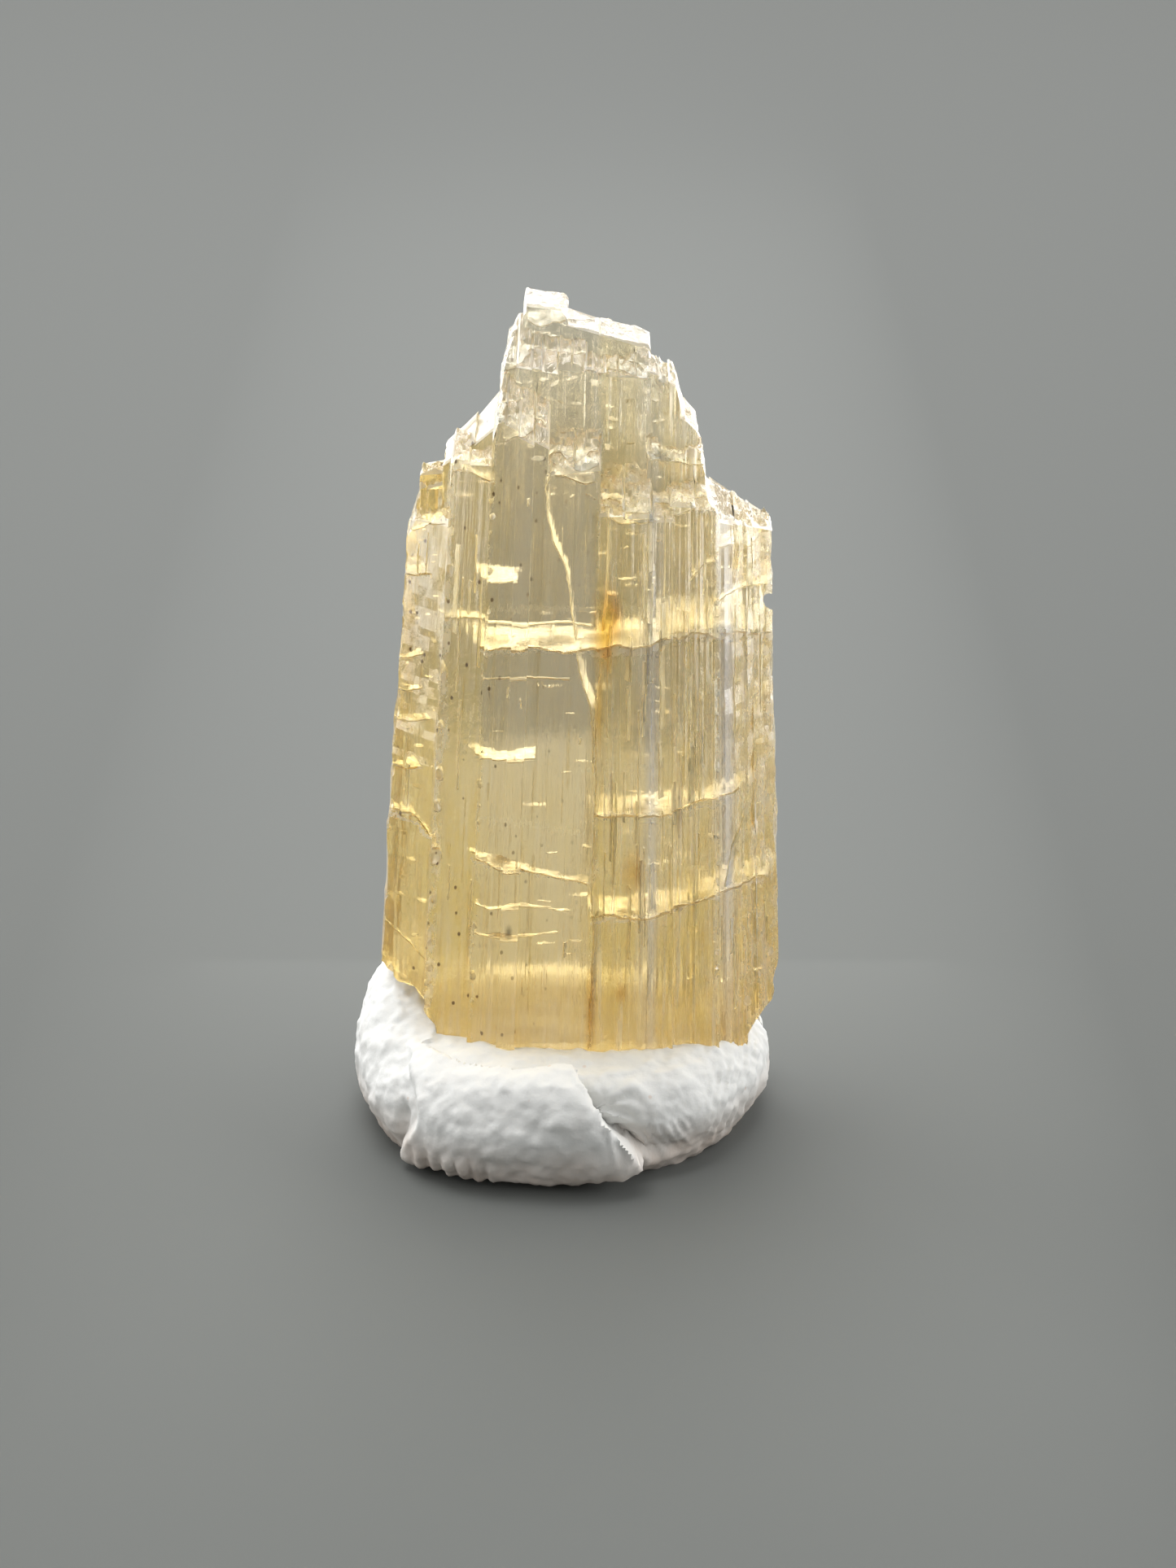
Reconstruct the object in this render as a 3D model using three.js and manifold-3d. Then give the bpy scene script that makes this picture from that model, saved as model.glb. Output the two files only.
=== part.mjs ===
// A single scapolite crystal standing in a pressed pad of white mineral tack.
// Units are millimetres. +Z is up, -Y is the crystal's broad front face and +X is to its right.
// The origin is on the pad's resting face, below the crystal's middle plane.
//
// The crystal is tetragonal and grew as a bundle of parallel blades along Z. Each blade has
// a striated front and back, and ends in a broken top of its own, which makes the ledges.
import * as THREE from "three";
import { mergeVertices } from "three/addons/utils/BufferGeometryUtils.js";
import Module from "manifold-3d";

const wasm = await Module();
wasm.setup();

// Crystal
const CRYSTAL_FOOT = 1.6; // height of the broken foot inside the pad
const TAPER_X = 0.0083; // share of the width lost per millimetre of height
const TAPER_Y = 0.004; // share of the thickness lost per millimetre of height
const LEAN_X = 0.024; // sideways lean, millimetres per millimetre of height
const STRIATION_WIDTH = [0.22, 0.62]; // narrowest and widest lath on a face
const STRIATION_DEPTH = 0.1; // how far a lath stands proud of, or behind, its face
const LATH_TILT = 0.06; // how far one side of a lath stands ahead of its other side
const TOP_ROUGHNESS = 0.2; // height of the bumps on a broken top
const TOP_CELL = 0.55; // grid of a broken top
const BREAK_OVERLAP = 0.07; // how far the two parts of a blade run past each other at a break
const BREAK_SHIFT = 0.05; // how far the laths of a blade move sideways and forward at a break
const OVERRUN = 0.4; // how far a trimming block passes a blade's sides

// Pad of mineral tack
const PAD_RADIUS = 6.5;
const PAD_CENTRE = { x: -0.15, y: 0.1 };
const PAD_HEIGHT = 3.3; // around the crystal; the rim is lower
const PAD_SEGMENTS = 84;
const SOCKET_GAP = 0.25; // between the crystal and the pad

// A repeatable value from -1 to 1 for two whole numbers.
function scatter(i, j) {
  const s = Math.sin(i * 127.1 + j * 311.7 + 5.3) * 43758.5453;
  return 2 * (s - Math.floor(s)) - 1;
}

function smoothstep(x) {
  const t = Math.min(1, Math.max(0, x));
  return t * t * (3 - 2 * t);
}

function toSolid(geometry) {
  const bare = geometry.clone();
  bare.deleteAttribute("normal");
  bare.deleteAttribute("uv");
  const merged = mergeVertices(bare, 1e-4);
  return new wasm.Manifold(
    new wasm.Mesh({
      numProp: 3,
      vertProperties: new Float32Array(merged.attributes.position.array),
      triVerts: new Uint32Array(merged.index.array),
    }),
  );
}

function toGeometry(solid) {
  const mesh = solid.getMesh();
  const geometry = new THREE.BufferGeometry();
  const positions = new Float32Array(mesh.vertProperties);
  geometry.setAttribute("position", new THREE.BufferAttribute(positions, 3));
  geometry.setIndex(new THREE.BufferAttribute(new Uint32Array(mesh.triVerts), 1));
  return geometry;
}

// Moves every vertex of a geometry by move(point).
function reshape(geometry, move) {
  const position = geometry.attributes.position;
  const point = new THREE.Vector3();
  for (let i = 0; i < position.count; i++) {
    point.fromBufferAttribute(position, i);
    move(point);
    position.setXYZ(i, point.x, point.y, point.z);
  }
  return geometry;
}

function extrude(points, depth) {
  const shape = new THREE.Shape(points.map(([a, b]) => new THREE.Vector2(a, b)));
  return new THREE.ExtrudeGeometry(shape, { depth, bevelEnabled: false });
}

// Waves of a broken face, from -1 to 1.
function fracture(x, y) {
  return (
    0.5 * Math.sin(2.3 * x + 1.7 * y + 0.4) +
    0.3 * Math.sin(4.1 * x - 2.9 * y + 1.3) +
    0.2 * Math.sin(7.7 * x + 6.1 * y)
  );
}

// The stepped line of laths along a face, between two ends in x whose y is given.
function striatedEdge([left, right], [yLeft, yRight], seed) {
  const points = [];
  const [narrow, wide] = STRIATION_WIDTH;
  let x = left;
  for (let i = 0; x < right; i++) {
    const width = narrow + (wide - narrow) * (0.5 + 0.5 * scatter(i, seed));
    const next = right - x - width < narrow ? right : x + width;
    const along = ((x + next) / 2 - left) / (right - left);
    const y = yLeft + (yRight - yLeft) * along + STRIATION_DEPTH * scatter(seed, i);
    const tilt = (LATH_TILT / 2) * scatter(i + 9, seed);
    points.push([x, y - tilt], [next, y + tilt]);
    x = next;
  }
  return points;
}

// A block over x and y whose top is a broken surface, at the height that level(x, y) gives.
function brokenBlock(x, y, bottom, seed, level) {
  const width = x[1] - x[0];
  const depth = y[1] - y[0];
  const columns = Math.max(2, Math.round(width / TOP_CELL));
  const rows = Math.max(2, Math.round(depth / TOP_CELL));
  const block = new THREE.BoxGeometry(width, depth, 1, columns, rows, 1);
  block.translate((x[0] + x[1]) / 2, (y[0] + y[1]) / 2, 0);
  reshape(block, (p) => {
    p.z = p.z > 0 ? level(p.x, p.y) + TOP_ROUGHNESS * fracture(p.x + seed, p.y) : bottom;
  });
  return toSolid(block);
}

// One blade. front and back are the y of its face at the left and the right side, top is
// the height of its broken end at the middle, and rise is the slope of that end to the
// right and to the back. The blade is parted at breaks, where its laths shift a little.
function blade({ left, right, front, back, top, rise = [0, 0], breaks = [] }, seed) {
  const cuts = [0, ...breaks, top + 4];
  const parts = cuts.slice(1).map((end, k) => {
    const start = cuts[k] - (k ? BREAK_OVERLAP : 0);
    const shift = BREAK_SHIFT * scatter(seed, 50 + k);
    const ends = [left + shift, right + shift];
    const faces = [front, back].map((face) => face.map((faceY) => faceY + 1.5 * shift));
    const frontEdge = striatedEdge(ends, faces[0], seed + 7 * k);
    const backEdge = striatedEdge(ends, faces[1], seed + 7 * k + 3);
    const outline = [...frontEdge, ...backEdge.reverse()];
    return toSolid(extrude(outline, end - start).translate(0, 0, start));
  });
  const middleX = (left + right) / 2;
  const middleY = (front[0] + front[1] + back[0] + back[1]) / 4;
  const x = [left - OVERRUN, right + OVERRUN];
  const y = [Math.min(...front) - OVERRUN, Math.max(...back) + OVERRUN];
  const level = (px, py) => top + rise[0] * (px - middleX) + rise[1] * (py - middleY);
  return wasm.Manifold.union(parts).intersect(brokenBlock(x, y, -1, seed, level));
}

// Heights at which the three fronts are parted, from the left side to the right.
const LEFT_BREAKS = [9.9, 13.6, 18.1];
const WINDOW_BREAKS = [9.3, 13.0, 16.2];
const RIGHT_BREAKS = [7.9, 11.1, 16.5];

const BLADES = [
  // left side, which turns back from the front face
  { left: -6.1, right: -4.45, front: [-0.35, -1.95], back: [0.5, 0.9], top: 19.95, rise: [0.15, 0.15], breaks: LEFT_BREAKS },
  { left: -5.75, right: -4.8, front: [0.0, -0.1], back: [1.2, 1.6], top: 20.9, rise: [0.1, 0] },
  { left: -4.6, right: -3.05, front: [-2.3, -2.75], back: [1.0, 1.0], top: 21.85, rise: [0.05, 0], breaks: LEFT_BREAKS },
  { left: -4.9, right: -3.0, front: [-0.6, -0.9], back: [2.0, 2.4], top: 21.95, rise: [0.75, 0] },
  // the clear front face
  { left: -3.15, right: -1.15, front: [-3.2, -3.2], back: [0.4, 0.4], top: 23.7, rise: [-0.45, 0.4], breaks: WINDOW_BREAKS },
  { left: -1.2, right: 0.7, front: [-3.15, -3.15], back: [0.4, 0.4], top: 22.25, rise: [0.1, 0.28], breaks: WINDOW_BREAKS },
  // the right of the front face
  { left: 0.75, right: 3.3, front: [-3.25, -3.15], back: [0.4, 0.4], top: 20.95, rise: [0, 0.3], breaks: RIGHT_BREAKS },
  { left: 3.2, right: 4.85, front: [-3.05, -2.7], back: [0.4, 0.4], top: 20.85, rise: [-0.1, 0.15], breaks: RIGHT_BREAKS },
  { left: 4.75, right: 6.85, front: [-2.6, -0.75], back: [2.2, 0.7], top: 19.72, rise: [-0.42, 0], breaks: RIGHT_BREAKS },
  { left: 2.4, right: 4.45, front: [-1.45, -1.3], back: [0.6, 0.6], top: 21.95, rise: [-0.1, 0.1] },
  { left: 3.6, right: 4.2, front: [-0.8, -0.7], back: [1.8, 1.7], top: 22.75, rise: [-0.5, 0] },
  { left: 4.05, right: 4.5, front: [-0.6, -0.4], back: [1.7, 1.6], top: 21.6, rise: [-1.2, 0] },
  // the crown
  { left: -3.0, right: 0.15, front: [-1.0, -0.8], back: [2.0, 2.0], top: 24.8, rise: [-0.15, 0.3] },
  { left: 0.1, right: 0.85, front: [-1.25, -1.2], back: [1.5, 1.5], top: 24.3 },
  { left: 0.8, right: 2.5, front: [-0.45, -0.4], back: [1.6, 1.6], top: 24.3, rise: [0, 0.2] },
  { left: 2.4, right: 3.7, front: [-0.7, -0.6], back: [1.9, 1.8], top: 23.9, rise: [-0.55, 0] },
  { left: -2.25, right: -0.6, front: [1.0, 1.0], back: [3.1, 3.15], top: 25.7, rise: [-0.1, 0] },
  { left: -0.75, right: 2.5, front: [1.0, 1.0], back: [3.1, 3.2], top: 24.85, rise: [-0.23, 0] },
  { left: -3.0, right: -2.15, front: [0.5, 0.5], back: [2.8, 2.9], top: 24.75, rise: [0.4, 0] },
  // the back
  { left: -6.05, right: -4.7, front: [-0.1, -0.3], back: [0.7, 1.9], top: 20.5, rise: [0.3, 0], breaks: [12.4] },
  { left: -4.9, right: -2.9, front: [-0.4, -0.4], back: [2.5, 2.8], top: 21.6, rise: [0.7, 0], breaks: [8.4, 15.2] },
  { left: -3.0, right: 2.6, front: [-0.4, -0.4], back: [3.05, 3.2], top: 23.8, rise: [-0.1, 0], breaks: [6.8, 14.1, 19.3] },
  { left: 2.5, right: 4.55, front: [-0.4, -0.4], back: [3.1, 2.7], top: 20.7, rise: [-0.2, 0], breaks: [10.2, 16.9] },
  { left: 4.4, right: 6.8, front: [-0.5, -0.3], back: [2.5, 0.8], top: 19.75, rise: [-0.3, 0], breaks: [13.3] },
];

// Broken corners, as outlines in X and Z that run right through the crystal.
const CORNERS = [
  // lower left, where the outer blades end above the pad
  [[-8.5, -1], [-4.1, -1], [-4.2, 3.75], [-4.55, 4.3], [-4.95, 4.55], [-5.6, 4.62], [-6.0, 5.0], [-8.5, 5.6]],
  // lower right
  [[5.45, -1], [9, -1], [9, 5.7], [6.95, 5.6], [6.6, 3.95], [6.2, 3.6], [5.75, 3.1]],
  // upper left shoulder of the outer blade
  [[-6.6, 18.7], [-6.05, 19.0], [-5.72, 20.2], [-5.72, 22.5], [-6.6, 22.5]],
  // left side of the crown
  [[-3.7, 22.3], [-3.13, 22.7], [-2.92, 23.87], [-2.7, 24.8], [-2.22, 25.55], [-2.22, 27], [-3.7, 27]],
];
const NOTCH = { x: 7.02, z: 17.1, radius: 0.42 }; // small bite out of the right edge
const THROUGH = 12; // longer than the crystal is thick

// The lost corners, moved away from the crystal and down by the clearance.
function corners(clearance) {
  const solids = CORNERS.map((outline) => {
    const moved = outline.map(([x, z]) => [x + Math.sign(x) * clearance, z - clearance]);
    return toSolid(extrude(moved, THROUGH).rotateX(Math.PI / 2).translate(0, THROUGH / 2, 0));
  });
  return wasm.Manifold.union(solids);
}

// The crystal narrows upwards and leans to the right.
function taperAndLean(p) {
  p.x = p.x * (1 - TAPER_X * p.z) + LEAN_X * p.z;
  p.y *= 1 - TAPER_Y * p.z;
}

function crystal() {
  const blades = BLADES.map((sizes, i) => blade(sizes, 11 * i + 1));
  const below = brokenBlock([-8, 8], [-5, 5], -2, 0, () => CRYSTAL_FOOT);
  const notch = new THREE.CylinderGeometry(NOTCH.radius, NOTCH.radius, THROUGH, 10);
  const solid = wasm.Manifold.union(blades)
    .subtract(below)
    .subtract(corners(0))
    .subtract(toSolid(notch.translate(NOTCH.x, 0, NOTCH.z)));
  return reshape(toGeometry(solid), taperAndLean);
}

// Half section of the pad as radius and height, both as shares of its size.
const PAD_SECTION = [
  [0, 0], [0.35, 0], [0.65, 0], [0.89, 0], [0.95, 0.06], [0.985, 0.16], [1.0, 0.29], [0.995, 0.42], [0.98, 0.57],
  [0.955, 0.71], [0.92, 0.83], [0.87, 0.92], [0.8, 0.975], [0.7, 1.0], [0.6, 1.01], [0.45, 1.0], [0.2, 1.0], [0, 1.0],
];

// The pad's height above a point: a mound rises below the crystal's left side.
function padHeight(x, y) {
  const mound = 1.5 * Math.exp(-(((x + 5.1) / 1.6) ** 2) - ((y - 0.7) / 2.6) ** 2);
  const ripples = 0.09 * Math.sin(0.9 * x + 0.5) * Math.cos(0.8 * y - 0.3);
  return PAD_HEIGHT + mound + ripples;
}

// The pad's outline is a pressed circle.
function padRadius(angle) {
  const waves = 0.018 * Math.sin(2 * angle + 0.7) + 0.012 * Math.sin(3 * angle + 2.1) + 0.01 * Math.sin(5 * angle);
  return PAD_RADIUS * (1 + waves);
}

// A flap of tack is folded over the front, from a step on the left to a slanting crease.
const FLAP = { left: -4.7, step: 0.4, crease: 0.2, slant: 0.95, creaseWidth: 0.4, thickness: 0.55 };

function flapThickness(x, y, z) {
  const crease = FLAP.crease + (PAD_HEIGHT - z) * FLAP.slant;
  const across = smoothstep((crease - x) / FLAP.creaseWidth) * smoothstep((x - FLAP.left) / FLAP.step);
  const swell = smoothstep((PAD_HEIGHT - z) / 1.6);
  return y < 0 ? FLAP.thickness * across * swell * smoothstep(0.4 + z / 0.8) : 0;
}

function pad() {
  const section = PAD_SECTION.map(([r, z]) => new THREE.Vector2(r * PAD_RADIUS, z * PAD_HEIGHT));
  const lump = new THREE.LatheGeometry(section, PAD_SEGMENTS).rotateX(Math.PI / 2);
  reshape(lump, (p) => {
    const angle = Math.atan2(p.y, p.x);
    const share = padRadius(angle) / PAD_RADIUS;
    p.x = p.x * share + PAD_CENTRE.x;
    p.y = p.y * share + PAD_CENTRE.y;
    p.z = (Math.abs(p.z) / PAD_HEIGHT) * padHeight(p.x, p.y);
    const grow = flapThickness(p.x, p.y, p.z);
    p.x += grow * Math.cos(angle);
    p.y += grow * Math.sin(angle);
  });
  return toSolid(lump);
}

// Plan of the hollow that the crystal stands in, with the gap around it.
const SOCKET_OUTLINE = [
  [-6.45, -0.7], [-4.6, -2.4], [-3.3, -3.15], [-3.2, -3.55], [3.4, -3.6], [5.0, -3.05], [7.2, -1.0],
  [7.2, 1.0], [4.8, 3.0], [2.8, 3.6], [-3.1, 3.45], [-5.0, 2.9], [-6.45, 1.2],
];

function socket() {
  const floor = CRYSTAL_FOOT - TOP_ROUGHNESS - SOCKET_GAP;
  const hollow = toSolid(extrude(SOCKET_OUTLINE, 10).translate(0, 0, floor));
  return toSolid(reshape(toGeometry(hollow.subtract(corners(SOCKET_GAP))), taperAndLean));
}

function part(name, geometry, material) {
  const mesh = new THREE.Mesh(geometry, material);
  geometry.computeVertexNormals();
  mesh.name = name;
  return mesh;
}

const honey = new THREE.MeshStandardMaterial({ color: 0xc9b27c, roughness: 0.15, metalness: 0, transparent: true, opacity: 0.6 });
const chalkWhite = new THREE.MeshStandardMaterial({ color: 0xe6e8e3, roughness: 0.75, metalness: 0 });

const specimen = new THREE.Group();
specimen.add(part("crystal", crystal(), honey));
specimen.add(part("tack_pad", toGeometry(pad().subtract(socket())), chalkWhite));

export default specimen;
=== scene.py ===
"""A honey-yellow scapolite crystal standing in a pressed pad of white mineral tack."""

import math
import random

import bmesh
import bpy
from mathutils import Euler, Matrix, Vector


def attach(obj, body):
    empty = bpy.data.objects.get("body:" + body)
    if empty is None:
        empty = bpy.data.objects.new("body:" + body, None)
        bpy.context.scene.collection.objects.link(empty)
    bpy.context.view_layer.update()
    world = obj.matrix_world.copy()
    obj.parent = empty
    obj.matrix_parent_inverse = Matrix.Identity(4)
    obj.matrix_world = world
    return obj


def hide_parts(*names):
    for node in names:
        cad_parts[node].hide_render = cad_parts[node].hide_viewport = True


bl_info = {
    "name": "Scapolite Crystal",
    "version": (1, 0, 0),
    "blender": (4, 5, 0),
    "location": "View3D > Sidebar > Specimen",
    "description": "A striated scapolite crystal in a pad of mineral tack, on a plain stage",
    "category": "Add Mesh",
}

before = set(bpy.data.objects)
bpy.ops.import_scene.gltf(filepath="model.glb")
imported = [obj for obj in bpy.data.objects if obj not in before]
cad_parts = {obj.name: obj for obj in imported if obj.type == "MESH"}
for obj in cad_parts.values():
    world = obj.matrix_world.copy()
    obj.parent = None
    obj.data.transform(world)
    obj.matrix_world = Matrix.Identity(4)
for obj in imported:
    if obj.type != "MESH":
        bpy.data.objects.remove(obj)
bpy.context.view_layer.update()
METRES = 0.001  # the pieces are modelled in millimetres and scaled once they are done


# ---------------------------------------------------------------- working by hand


def deselect_all():
    """Leaves edit mode, with nothing selected."""
    if bpy.context.mode != "OBJECT":
        bpy.ops.object.mode_set(mode="OBJECT")
    bpy.ops.object.select_all(action="DESELECT")


def choose(*objects):
    """Selects these objects only, and makes the first one active."""
    deselect_all()
    for obj in objects:
        obj.select_set(True)
    bpy.context.view_layer.objects.active = objects[0]


def edit(obj):
    """Opens a piece in edit mode with nothing selected."""
    choose(obj)
    bpy.ops.object.mode_set(mode="EDIT")
    bpy.ops.mesh.select_all(action="DESELECT")


def pick(obj, kind, test):
    """Selects the verts, edges or faces of the open piece that pass the test, and only those."""
    bpy.ops.mesh.select_all(action="DESELECT")
    bpy.ops.mesh.select_mode(type={"verts": "VERT", "edges": "EDGE", "faces": "FACE"}[kind])
    mesh = bmesh.from_edit_mesh(obj.data)
    for element in getattr(mesh, kind):
        if test(element):
            element.select_set(True)
    mesh.select_flush_mode()
    bmesh.update_edit_mesh(obj.data)


def shaped(obj, kind, **settings):
    """Adds a modifier with these settings and applies it."""
    choose(obj)
    modifier = obj.modifiers.new(kind.title(), kind)
    for name, value in settings.items():
        setattr(modifier, name, value)
    bpy.ops.object.modifier_apply(modifier=modifier.name)


def cut(obj, tool):
    """Cuts a tool out of a piece and removes the tool."""
    before = len(obj.data.vertices)
    shaped(obj, "BOOLEAN", operation="DIFFERENCE", solver="MANIFOLD", object=tool)
    if len(obj.data.vertices) == before:
        raise RuntimeError(f"{tool.name} could not be cut out of {obj.name}")
    bpy.data.objects.remove(tool)


def reach(obj):
    """The lowest and highest corners of a piece."""
    places = [vertex.co for vertex in obj.data.vertices]
    return [min(p[i] for p in places) for i in range(3)], [max(p[i] for p in places) for i in range(3)]


def grown_together(pieces):
    """Joins pieces into one solid: those that stand apart first, and then the sets that overlap."""
    sets = []
    for piece in pieces:
        low, high = reach(piece)
        for members, boxes in sets:
            if all(any(high[i] < a[i] or low[i] > b[i] for i in range(3)) for a, b in boxes):
                members.append(piece)
                boxes.append((low, high))
                break
        else:
            sets.append(([piece], [(low, high)]))
    joined = []
    for members, boxes in sets:
        choose(*members)
        if len(members) > 1:
            bpy.ops.object.join()
        joined.append(members[0])
    while len(joined) > 1:
        for first, second in zip(joined[::2], joined[1::2]):
            shaped(first, "BOOLEAN", operation="UNION", solver="MANIFOLD", object=second)
            bpy.data.objects.remove(second)
        joined = joined[::2]
    return joined[0]


def drop_crumbs(obj):
    """Takes away the crumbs that a cut left loose. Hollows inside, which turn inwards, stay."""
    mesh = bmesh.new()
    mesh.from_mesh(obj.data)
    unseen = set(mesh.faces)
    bodies = []
    while unseen:
        body = [unseen.pop()]
        for face in body:
            near = {other for edge in face.edges for other in edge.link_faces} & unseen
            unseen -= near
            body.extend(near)
        volume = sum(f.calc_center_median().dot(f.normal) * f.calc_area() for f in body)
        bodies.append((volume, len(bodies), body))
    bodies.sort(reverse=True)
    crumbs = [face for volume, number, body in bodies[1:] if volume > 0 for face in body]
    bmesh.ops.delete(mesh, geom=crumbs, context="FACES")
    mesh.to_mesh(obj.data)
    mesh.free()


def along(table, value):
    """Reads a table of (place, value) pairs in rising order, with straight lines between them."""
    for (a, low), (b, high) in zip(table, table[1:]):
        if value <= b:
            return low + (high - low) * max(0.0, value - a) / (b - a)
    return table[-1][1]


def mark(obj, name, amount, test=lambda face: True):
    """Writes an amount on the faces that pass the test, for the material to read."""
    data = obj.data.attributes.get(name) or obj.data.attributes.new(name, "FLOAT", "FACE")
    for face in obj.data.polygons:
        if test(face):
            data.data[face.index].value = amount


def smooth(obj):
    """Shades the whole piece smooth."""
    for face in obj.data.polygons:
        face.use_smooth = True


def block(low, high):
    """A box between two corners."""
    size = [b - a for a, b in zip(low, high)]
    middle = [(a + b) / 2 for a, b in zip(low, high)]
    bpy.ops.mesh.primitive_cube_add(size=1, location=middle, scale=size)
    bpy.ops.object.transform_apply(location=True, rotation=True, scale=True)
    return bpy.context.active_object


def relief(name, kind, **settings):
    """A procedural texture for a Displace modifier."""
    texture = bpy.data.textures.new(name, kind)
    for key, value in settings.items():
        setattr(texture, key, value)
    return texture


def duplicate(obj):
    """A copy with its own mesh."""
    copy = obj.copy()
    copy.data = obj.data.copy()
    bpy.context.collection.objects.link(copy)
    return copy


def displaced(obj, texture, strength, **settings):
    """Moves the skin by a texture, along its normals and by place unless the settings say otherwise."""
    settings = {"direction": "NORMAL", "texture_coords": "GLOBAL", **settings}
    shaped(obj, "DISPLACE", texture=texture, strength=strength, **settings)


def placed(name, mesh):
    """An object in the scene that holds a mesh."""
    obj = bpy.data.objects.new(name, mesh)
    bpy.context.collection.objects.link(obj)
    return obj


def finished(obj, name, material):
    """Names a piece, brings it to metres with its object at the origin, and gives it its material."""
    choose(obj)
    obj.scale = (METRES, METRES, METRES)
    bpy.ops.object.transform_apply(location=True, rotation=True, scale=True)
    obj.name = name
    obj.data.name = name
    obj.data.materials.clear()
    obj.data.materials.append(material)
    return obj


# ---------------------------------------------------------------- sizes and colours


class CrystalSettings(bpy.types.PropertyGroup):
    taper: bpy.props.FloatProperty(
        name="Taper", description="Share of the width lost per millimetre of height", default=0.0083
    )
    lean: bpy.props.FloatProperty(
        name="Lean", description="Sideways lean per millimetre of height", default=0.024
    )
    striation_pitch: bpy.props.FloatProperty(
        name="Striation pitch", description="Mean width of a lath on a face, in millimetres", default=0.13
    )
    striation_depth: bpy.props.FloatProperty(
        name="Striation depth", description="Depth of the grooves between laths, in millimetres", default=0.07
    )
    refraction: bpy.props.FloatProperty(name="Refraction", description="Index of refraction", default=1.56)
    clarity: bpy.props.FloatProperty(
        name="Clarity", description="Share of the light that passes the surface", default=0.8,
        subtype="FACTOR",
    )
    clear_colour: bpy.props.FloatVectorProperty(
        name="Clear colour", description="Colour of the clearest parts", default=(0.96, 0.95, 0.88),
        subtype="COLOR", size=3,
    )
    honey_colour: bpy.props.FloatVectorProperty(
        name="Honey colour", description="Colour of the honey parts", default=(0.98, 0.83, 0.38),
        subtype="COLOR", size=3,
    )
    cream_colour: bpy.props.FloatVectorProperty(
        name="Cream colour", description="Colour of streaks and frosted breaks", default=(1.0, 0.96, 0.84),
        subtype="COLOR", size=3,
    )
    depth_colour: bpy.props.FloatVectorProperty(
        name="Depth colour", description="Colour that light takes inside", default=(0.96, 0.8, 0.36),
        subtype="COLOR", size=3,
    )
    depth_strength: bpy.props.FloatProperty(
        name="Depth strength", description="How strongly the crystal takes up light, per metre", default=130.0
    )


class TackSettings(bpy.types.PropertyGroup):
    radius: bpy.props.FloatProperty(
        name="Radius", description="Radius of the pad, in millimetres", default=6.5
    )
    height: bpy.props.FloatProperty(
        name="Height", description="Height around the crystal, in millimetres", default=3.3
    )
    fold: bpy.props.FloatProperty(
        name="Fold", description="How far the folded flap stands out in front, in millimetres", default=0.85
    )
    crumple: bpy.props.FloatProperty(
        name="Crumple", description="Depth of the crumpled skin, in millimetres", default=0.12
    )
    colour: bpy.props.FloatVectorProperty(
        name="Colour", description="Colour of the tack", default=(0.72, 0.72, 0.7), subtype="COLOR", size=3
    )
    # painted shade low down, warm like a painted reflection, and also the colour of the dirt specks
    shade_and_dirt_colour: bpy.props.FloatVectorProperty(
        name="Shade and dirt colour", description="Colour in the folds and low down", default=(0.64, 0.53, 0.45),
        subtype="COLOR", size=3,
    )


class StageSettings(bpy.types.PropertyGroup):
    floor_colour: bpy.props.FloatVectorProperty(
        name="Floor colour", description="Colour of the plain floor", default=(0.105, 0.11, 0.104),
        subtype="COLOR", size=3,
    )
    key: bpy.props.FloatProperty(
        name="Key", description="Brightness of the large light overhead", default=6.3
    )
    back: bpy.props.FloatProperty(name="Back", description="Brightness of the light behind", default=5.5)
    left: bpy.props.FloatProperty(
        name="Left", description="Brightness of the low light on the left", default=3.4
    )
    right: bpy.props.FloatProperty(
        name="Right", description="Brightness of the low light on the right", default=4.7
    )
    low: bpy.props.FloatProperty(
        name="Low", description="Brightness of the small light behind the pad", default=0.42
    )
    room: bpy.props.FloatProperty(name="Room", description="Brightness of the room all around", default=0.38)


# ---------------------------------------------------------------- materials


def node(tree, kind, links=(), **settings):
    """Adds a node. Settings set its options, and links its inputs, as sockets or as plain values."""
    new = tree.nodes.new(kind)
    for name, value in settings.items():
        setattr(new, name, value)
    for key, value in dict(links).items():
        if isinstance(value, bpy.types.NodeSocket):
            tree.links.new(value, new.inputs[key])
        else:
            new.inputs[key].default_value = value
    return new


def value_range(tree, value, low, high, to_low=0.0, to_high=1.0):
    """Maps a value from one range to another, clamped."""
    return node(
        tree, "ShaderNodeMapRange",
        {"Value": value, "From Min": low, "From Max": high, "To Min": to_low, "To Max": to_high},
    ).outputs["Result"]


def maths(tree, operation, a, b):
    """Works out one value from two."""
    return node(tree, "ShaderNodeMath", {0: a, 1: b}, operation=operation).outputs["Value"]


def times(tree, a, b):
    return maths(tree, "MULTIPLY", a, b)


def plus(tree, a, b):
    return maths(tree, "ADD", a, b)


def larger(tree, a, b):
    return maths(tree, "MAXIMUM", a, b)


def blended(tree, share, under, over):
    """Mixes two colours by a share, and gives the mixed colour."""
    new = node(tree, "ShaderNodeMix", {"Factor": share}, data_type="RGBA")
    for socket, colour in ((new.inputs[6], under), (new.inputs[7], over)):
        if isinstance(colour, bpy.types.NodeSocket):
            tree.links.new(colour, socket)
        else:
            socket.default_value = (*colour, 1)
    return new.outputs[2]


def grained_noise(tree, place, stretch, detail=2.0, roughness=0.5):
    """Noise on the crystal's own grid, stretched by a scale for each axis."""
    scaled = node(tree, "ShaderNodeMapping", {"Vector": place, "Scale": stretch})
    noise = node(
        tree, "ShaderNodeTexNoise",
        {"Vector": scaled.outputs["Vector"], "Scale": 1.0, "Detail": detail, "Roughness": roughness},
    )
    return noise.outputs["Fac"]


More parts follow.
